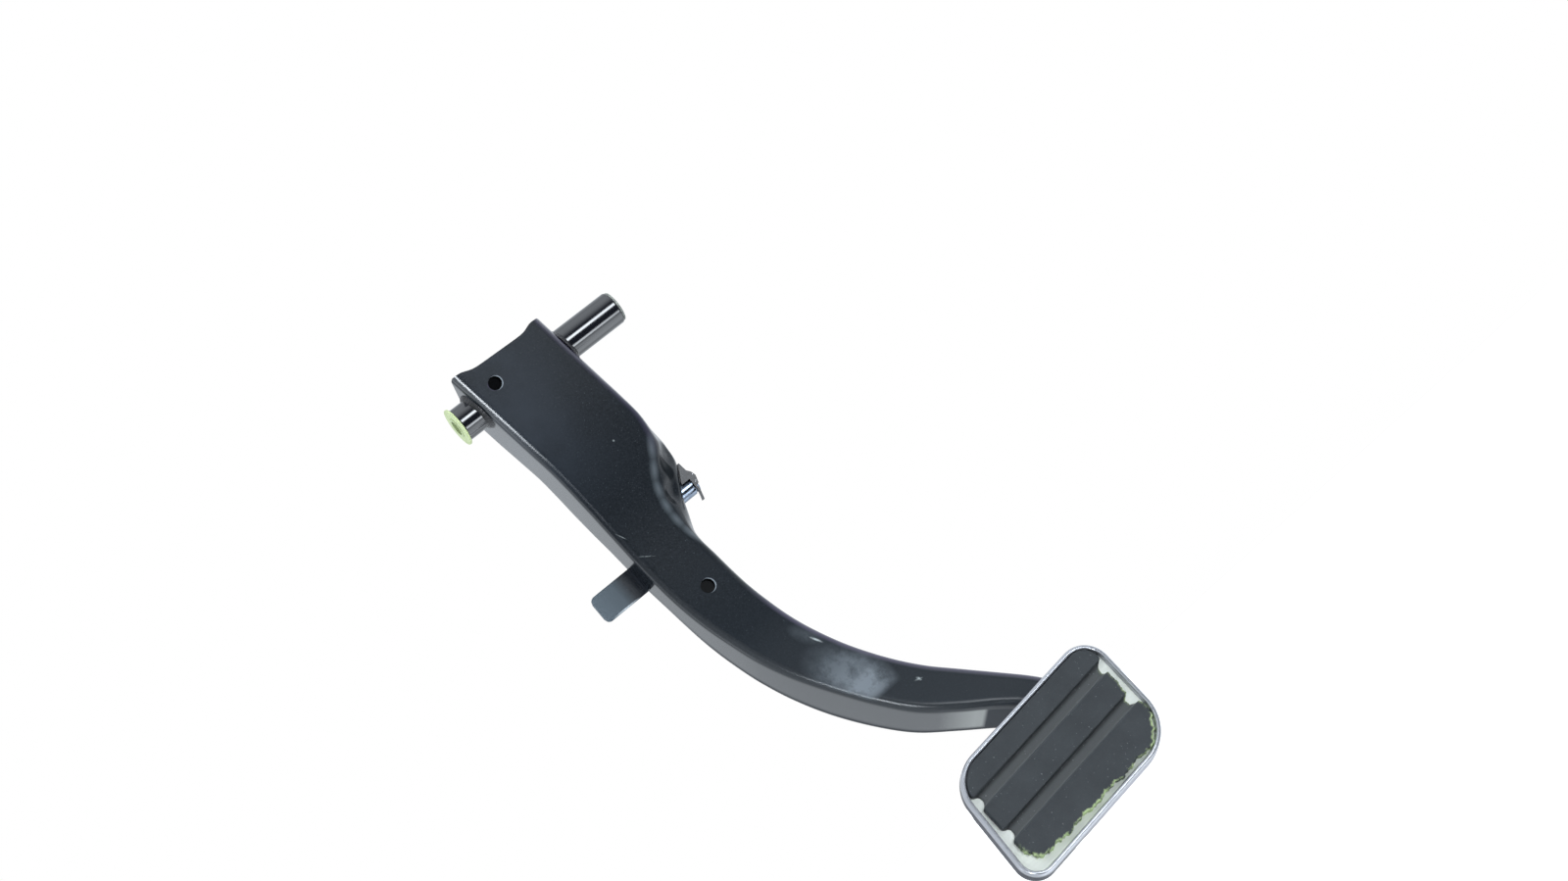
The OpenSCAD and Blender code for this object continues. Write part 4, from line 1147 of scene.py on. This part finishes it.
# %% Worn rubber
BAND_DARK, BAND_LIGHT, DIRT, GRIT = (42, 47, 51), (52, 57, 61), (76, 79, 80), (130, 136, 138)
SHADOW, WALL_LIGHT, CRUMBS = (24, 27, 30), (116, 120, 121), (186, 206, 150)
worn_rubber = Finish("worn_rubber")
fine = worn_rubber.noise(1400, 4, 0.7)
shade = worn_rubber.read("shade")
grit = worn_rubber.grey(worn_rubber.noise(900, 2, 0.5), 0.0, 1.0, 0.7, 0.74)
torn = worn_rubber.times(worn_rubber.read("fringe"),
                         worn_rubber.grey(worn_rubber.noise(160, 6, 0.75), 0.0, 2.4, 0.42, 0.62))
body = worn_rubber.mottle(worn_rubber.noise(60, 5, 0.6), BAND_DARK, BAND_LIGHT)
for factor, colour in ((worn_rubber.times(worn_rubber.read("groove"), 0.9), DIRT),
                       (worn_rubber.grey(shade, 0.0, 0.85, 0.0, 1.0), SHADOW),
                       (worn_rubber.grey(shade, 0.5, 0.0, -0.55, 0.0), WALL_LIGHT),
                       (worn_rubber.times(grit, 0.5), GRIT), (torn, CRUMBS)):
    body = worn_rubber.lay(body, factor, colour)
rubber_finish = worn_rubber.set(Base_Color=body, Roughness=worn_rubber.grey(fine, 0.55, 0.7),
                                Normal=worn_rubber.bump(fine, 0.00008, 0.6))

# %% [markdown]
# ## Black nylon of the clip
# The clip is moulded nylon with small bright specks where the light catches its edges.

# %% Black nylon of the clip
nylon = Finish("clip_nylon")
dark_nylon = nylon.mottle(nylon.noise(600), (14, 14, 16), (40, 40, 44))
glints = nylon.grey(nylon.noise(900, 2, 0.5), 0.0, 0.8, 0.68, 0.74)
clip_nylon = nylon.set(Base_Color=nylon.lay(dark_nylon, glints, (220, 224, 228)), Roughness=0.3)

# %% [markdown]
# ## Putting the pieces on their bodies
# Each new piece stands for its solid and rides on the same body, so that the pedal still
# swings as one.

# %% Ride and replace
def coated(piece, material):
    """One finish for a whole piece."""
    piece.data.materials.clear()
    piece.data.materials.append(material)


def dress(piece, material, slot, *stands_for, body="pedal"):
    """Gives a piece its finish, lets it ride on its body and may replace solids with it."""
    coated(piece, material)
    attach(piece, body)
    if stands_for:
        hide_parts(*stands_for)


dress(arm, arm_coat, "arm_paint", "arm_pressing")
dress(lug, lug_coat, "arm_paint")
dress(tube, tube_coat, "tube_paint", "pivot_tube")
dress(welds[0], weld_coat, "weld_paint", "tube_weld_left")
dress(welds[1], weld_coat, "weld_paint", "tube_weld_right")
dress(bushes[0], pale_plastic, "bush_plastic", "bush_left")
dress(bushes[1], darker_bush, "bush_plastic", "bush_right")
dress(pin, zinc_plate, "pin_plate", "pushrod_pin")
dress(tray, stainless, "trim_steel", "pad_tray")
dress(rubber, rubber_finish, "pad_rubber", "pad_rubber")
for name, material in (("pivot_sleeve", sleeve_reflection), ("pushrod_clip", clip_nylon),
                       ("pin_weld", weld_coat), ("pad_plate", weld_coat), ("pad_weld", weld_coat)):
    coated(nodes[name], material)
print("finishes:", len(bpy.data.materials))

# %% [markdown]
# ## Light
# The photograph is a product shot on white: a bright backdrop behind the pedal, which the
# flanges mirror at a shallow angle, and a dim room in front, which keeps the web dark. Long
# soft boxes give the thin lines of light along the folds and the tube. All of that is one
# world, written by direction, so it needs no lamp close to the object.

# %% World by direction
def photo_direction(right, up):
    """A direction seen from the pedal: right and up from straight toward the driver, degrees."""
    a, e = math.radians(right), math.radians(up)
    return hang([math.sin(a) * math.cos(e), -math.cos(a) * math.cos(e), math.sin(e)])


world = bpy.data.worlds.new("studio")
bpy.context.scene.world = world
world.use_nodes = True
studio = Nodes(world.node_tree)
studio.tree.nodes.clear()
sky = studio.node("ShaderNodeTexCoord").outputs["Generated"]


def facing(direction, start, end, low, high):
    """Light by the cosine between the ray and a direction, eased from start to end."""
    return studio.grey(studio.vector("DOT_PRODUCT", sky, direction), low, high, start, end,
                       interpolation_type="SMOOTHSTEP")


def soft_box(right, up, half_right, half_up, strength, edge):
    """A rectangle of light on the sky: the product of two bands of angle about its middle."""
    centre, across = photo_direction(right, up), photo_direction(right + 90, 0)
    ease = math.sin(math.radians(edge))
    bands = []
    for axis, size in ((across, half_right), (np.cross(across, centre), half_up)):
        limit = -math.sin(math.radians(size))
        bands += [facing(sign * axis, limit - ease, limit + ease, 0, 1) for sign in (-1, 1)]
    return studio.times(*bands, facing(centre, 0.0, 0.2, 0, strength))


print("straight toward the driver is", photo_direction(0, 0).round(3))

# %% Backdrop, room and soft boxes
ROOM = (  # direction right and up, where its light starts and ends, low and high strength
    (18, 2, 0.90, 0.35, 0.04, 1.0), (20, 75, 0.75, 0.97, 0.0, 0.45),
    (20, -80, 0.75, 0.97, 0.0, 1.2))
SOFT_BOXES = (  # right, up, half width, half height, strength, soft edge
    (-39, -4.5, 11, 2.5, 50.0, 2), (-104, -4, 8, 8, 2.0, 4), (125, 0, 18, 9, 1.2, 5),
    (13.5, 15.5, 12, 7.0, 13.5, 4), (13.5, -38, 12, 6, 6.5, 3))
COOL, WHITE = (0.94, 1.0, 1.06, 1), (1, 1, 1, 1)
lights = [facing(photo_direction(right, up), *band) for right, up, *band in ROOM]
lights += [soft_box(*box) for box in SOFT_BOXES]
room = studio.node("ShaderNodeBackground", Color=COOL)
studio.link(studio.combine("ADD", *lights), room.inputs["Strength"])
white = studio.node("ShaderNodeBackground", Color=WHITE, Strength=1.0)
seen_by = studio.node("ShaderNodeLightPath").outputs["Is Camera Ray"]
studio.link(studio.choose(seen_by, room.outputs[0], white.outputs[0]),
            studio.node("ShaderNodeOutputWorld").inputs["Surface"])
print("lights on the sky:", len(lights))

# %% [markdown]
# ## Floor
# A pale floor well below the pedal keeps its soft shadow. It is clear to mirrored rays, so the
# metal shows the backdrop under it too, and it glows a little to the camera, so it ends white.

# %% Floor
FLOOR_Z, FLOOR_HALF, FLOOR_GLOW = -0.46, 6.0, 0.6
floor_mesh = bpy.data.meshes.new("floor")
signs = ((-1, -1), (1, -1), (1, 1), (-1, 1))
corners = [(x * FLOOR_HALF, y * FLOOR_HALF, FLOOR_Z) for x, y in signs]
floor_mesh.from_pydata(corners, [], [(0, 1, 2, 3)])
floor = bpy.data.objects.new("floor", floor_mesh)
bpy.context.scene.collection.objects.link(floor)
ground = Finish("pale_floor")
floor_mesh.materials.append(ground.set(Base_Color=(0.85, 0.85, 0.85), Roughness=0.9))
pale = ground.shader.outputs[0]
ray = ground.node("ShaderNodeLightPath")
clear = ground.node("ShaderNodeBsdfTransparent")
glow = ground.node("ShaderNodeEmission", Strength=FLOOR_GLOW)
add = ground.node("ShaderNodeAddShader")
ground.link(pale, add.inputs[0])
ground.link(glow.outputs[0], add.inputs[1])
mirrored = ground.choose(ray.outputs["Is Glossy Ray"], pale, clear.outputs[0])
seen = ground.choose(ray.outputs["Is Camera Ray"], mirrored, add.outputs[0])
ground.link(seen, ground.tree.nodes["Material Output"].inputs["Surface"])

# %% [markdown]
# ## Camera
# The photograph was taken from 1.2 m away, 17 degrees to the left of straight on and slightly
# above, with the camera rolled so that the pedal lies across the frame. The pivot's middle
# and the scale there fix where the camera points.

# %% Camera
AZIMUTH, ELEVATION, ROLL, DISTANCE, MM_PER_PIXEL = -17.065, 4.766, 37.682, 1200.2, 0.49008
PIVOT_PIXEL, FRAME_SIZE, SENSOR = (548.03, 373.88), (1600, 899), 36.0
a, e, r = (math.radians(v) for v in (AZIMUTH, ELEVATION, ROLL))
forward = np.array([-math.sin(a) * math.cos(e), math.cos(a) * math.cos(e), -math.sin(e)])
level_right = np.array([math.cos(a), math.sin(a), 0])
level_up = np.cross(level_right, forward)
right = math.cos(r) * level_right - math.sin(r) * level_up
up = math.sin(r) * level_right + math.cos(r) * level_up
focal = DISTANCE / MM_PER_PIXEL
off_right, off_down = ((at - size / 2) / focal for at, size in zip(PIVOT_PIXEL, FRAME_SIZE))
eye = hang(-DISTANCE * (forward + off_right * right - off_down * up)) * MM
axes = np.stack([hang(v) for v in (right, up, -forward)], 1)
lens = bpy.data.cameras.new("camera")
camera = bpy.data.objects.new("camera", lens)
bpy.context.scene.collection.objects.link(camera)
camera.matrix_world = Matrix.Translation(Vector(eye)) @ Matrix(axes.tolist()).to_4x4()
lens.sensor_width = SENSOR
lens.lens = SENSOR * focal / FRAME_SIZE[0]
lens.clip_start, lens.clip_end = 0.05, 30.0
bpy.context.scene.camera = camera
bpy.context.scene.view_settings.view_transform = "Standard"
print("lens", round(lens.lens, 1), "mm, camera at", eye.round(3), "m")

# %% [markdown]
# ## Finish
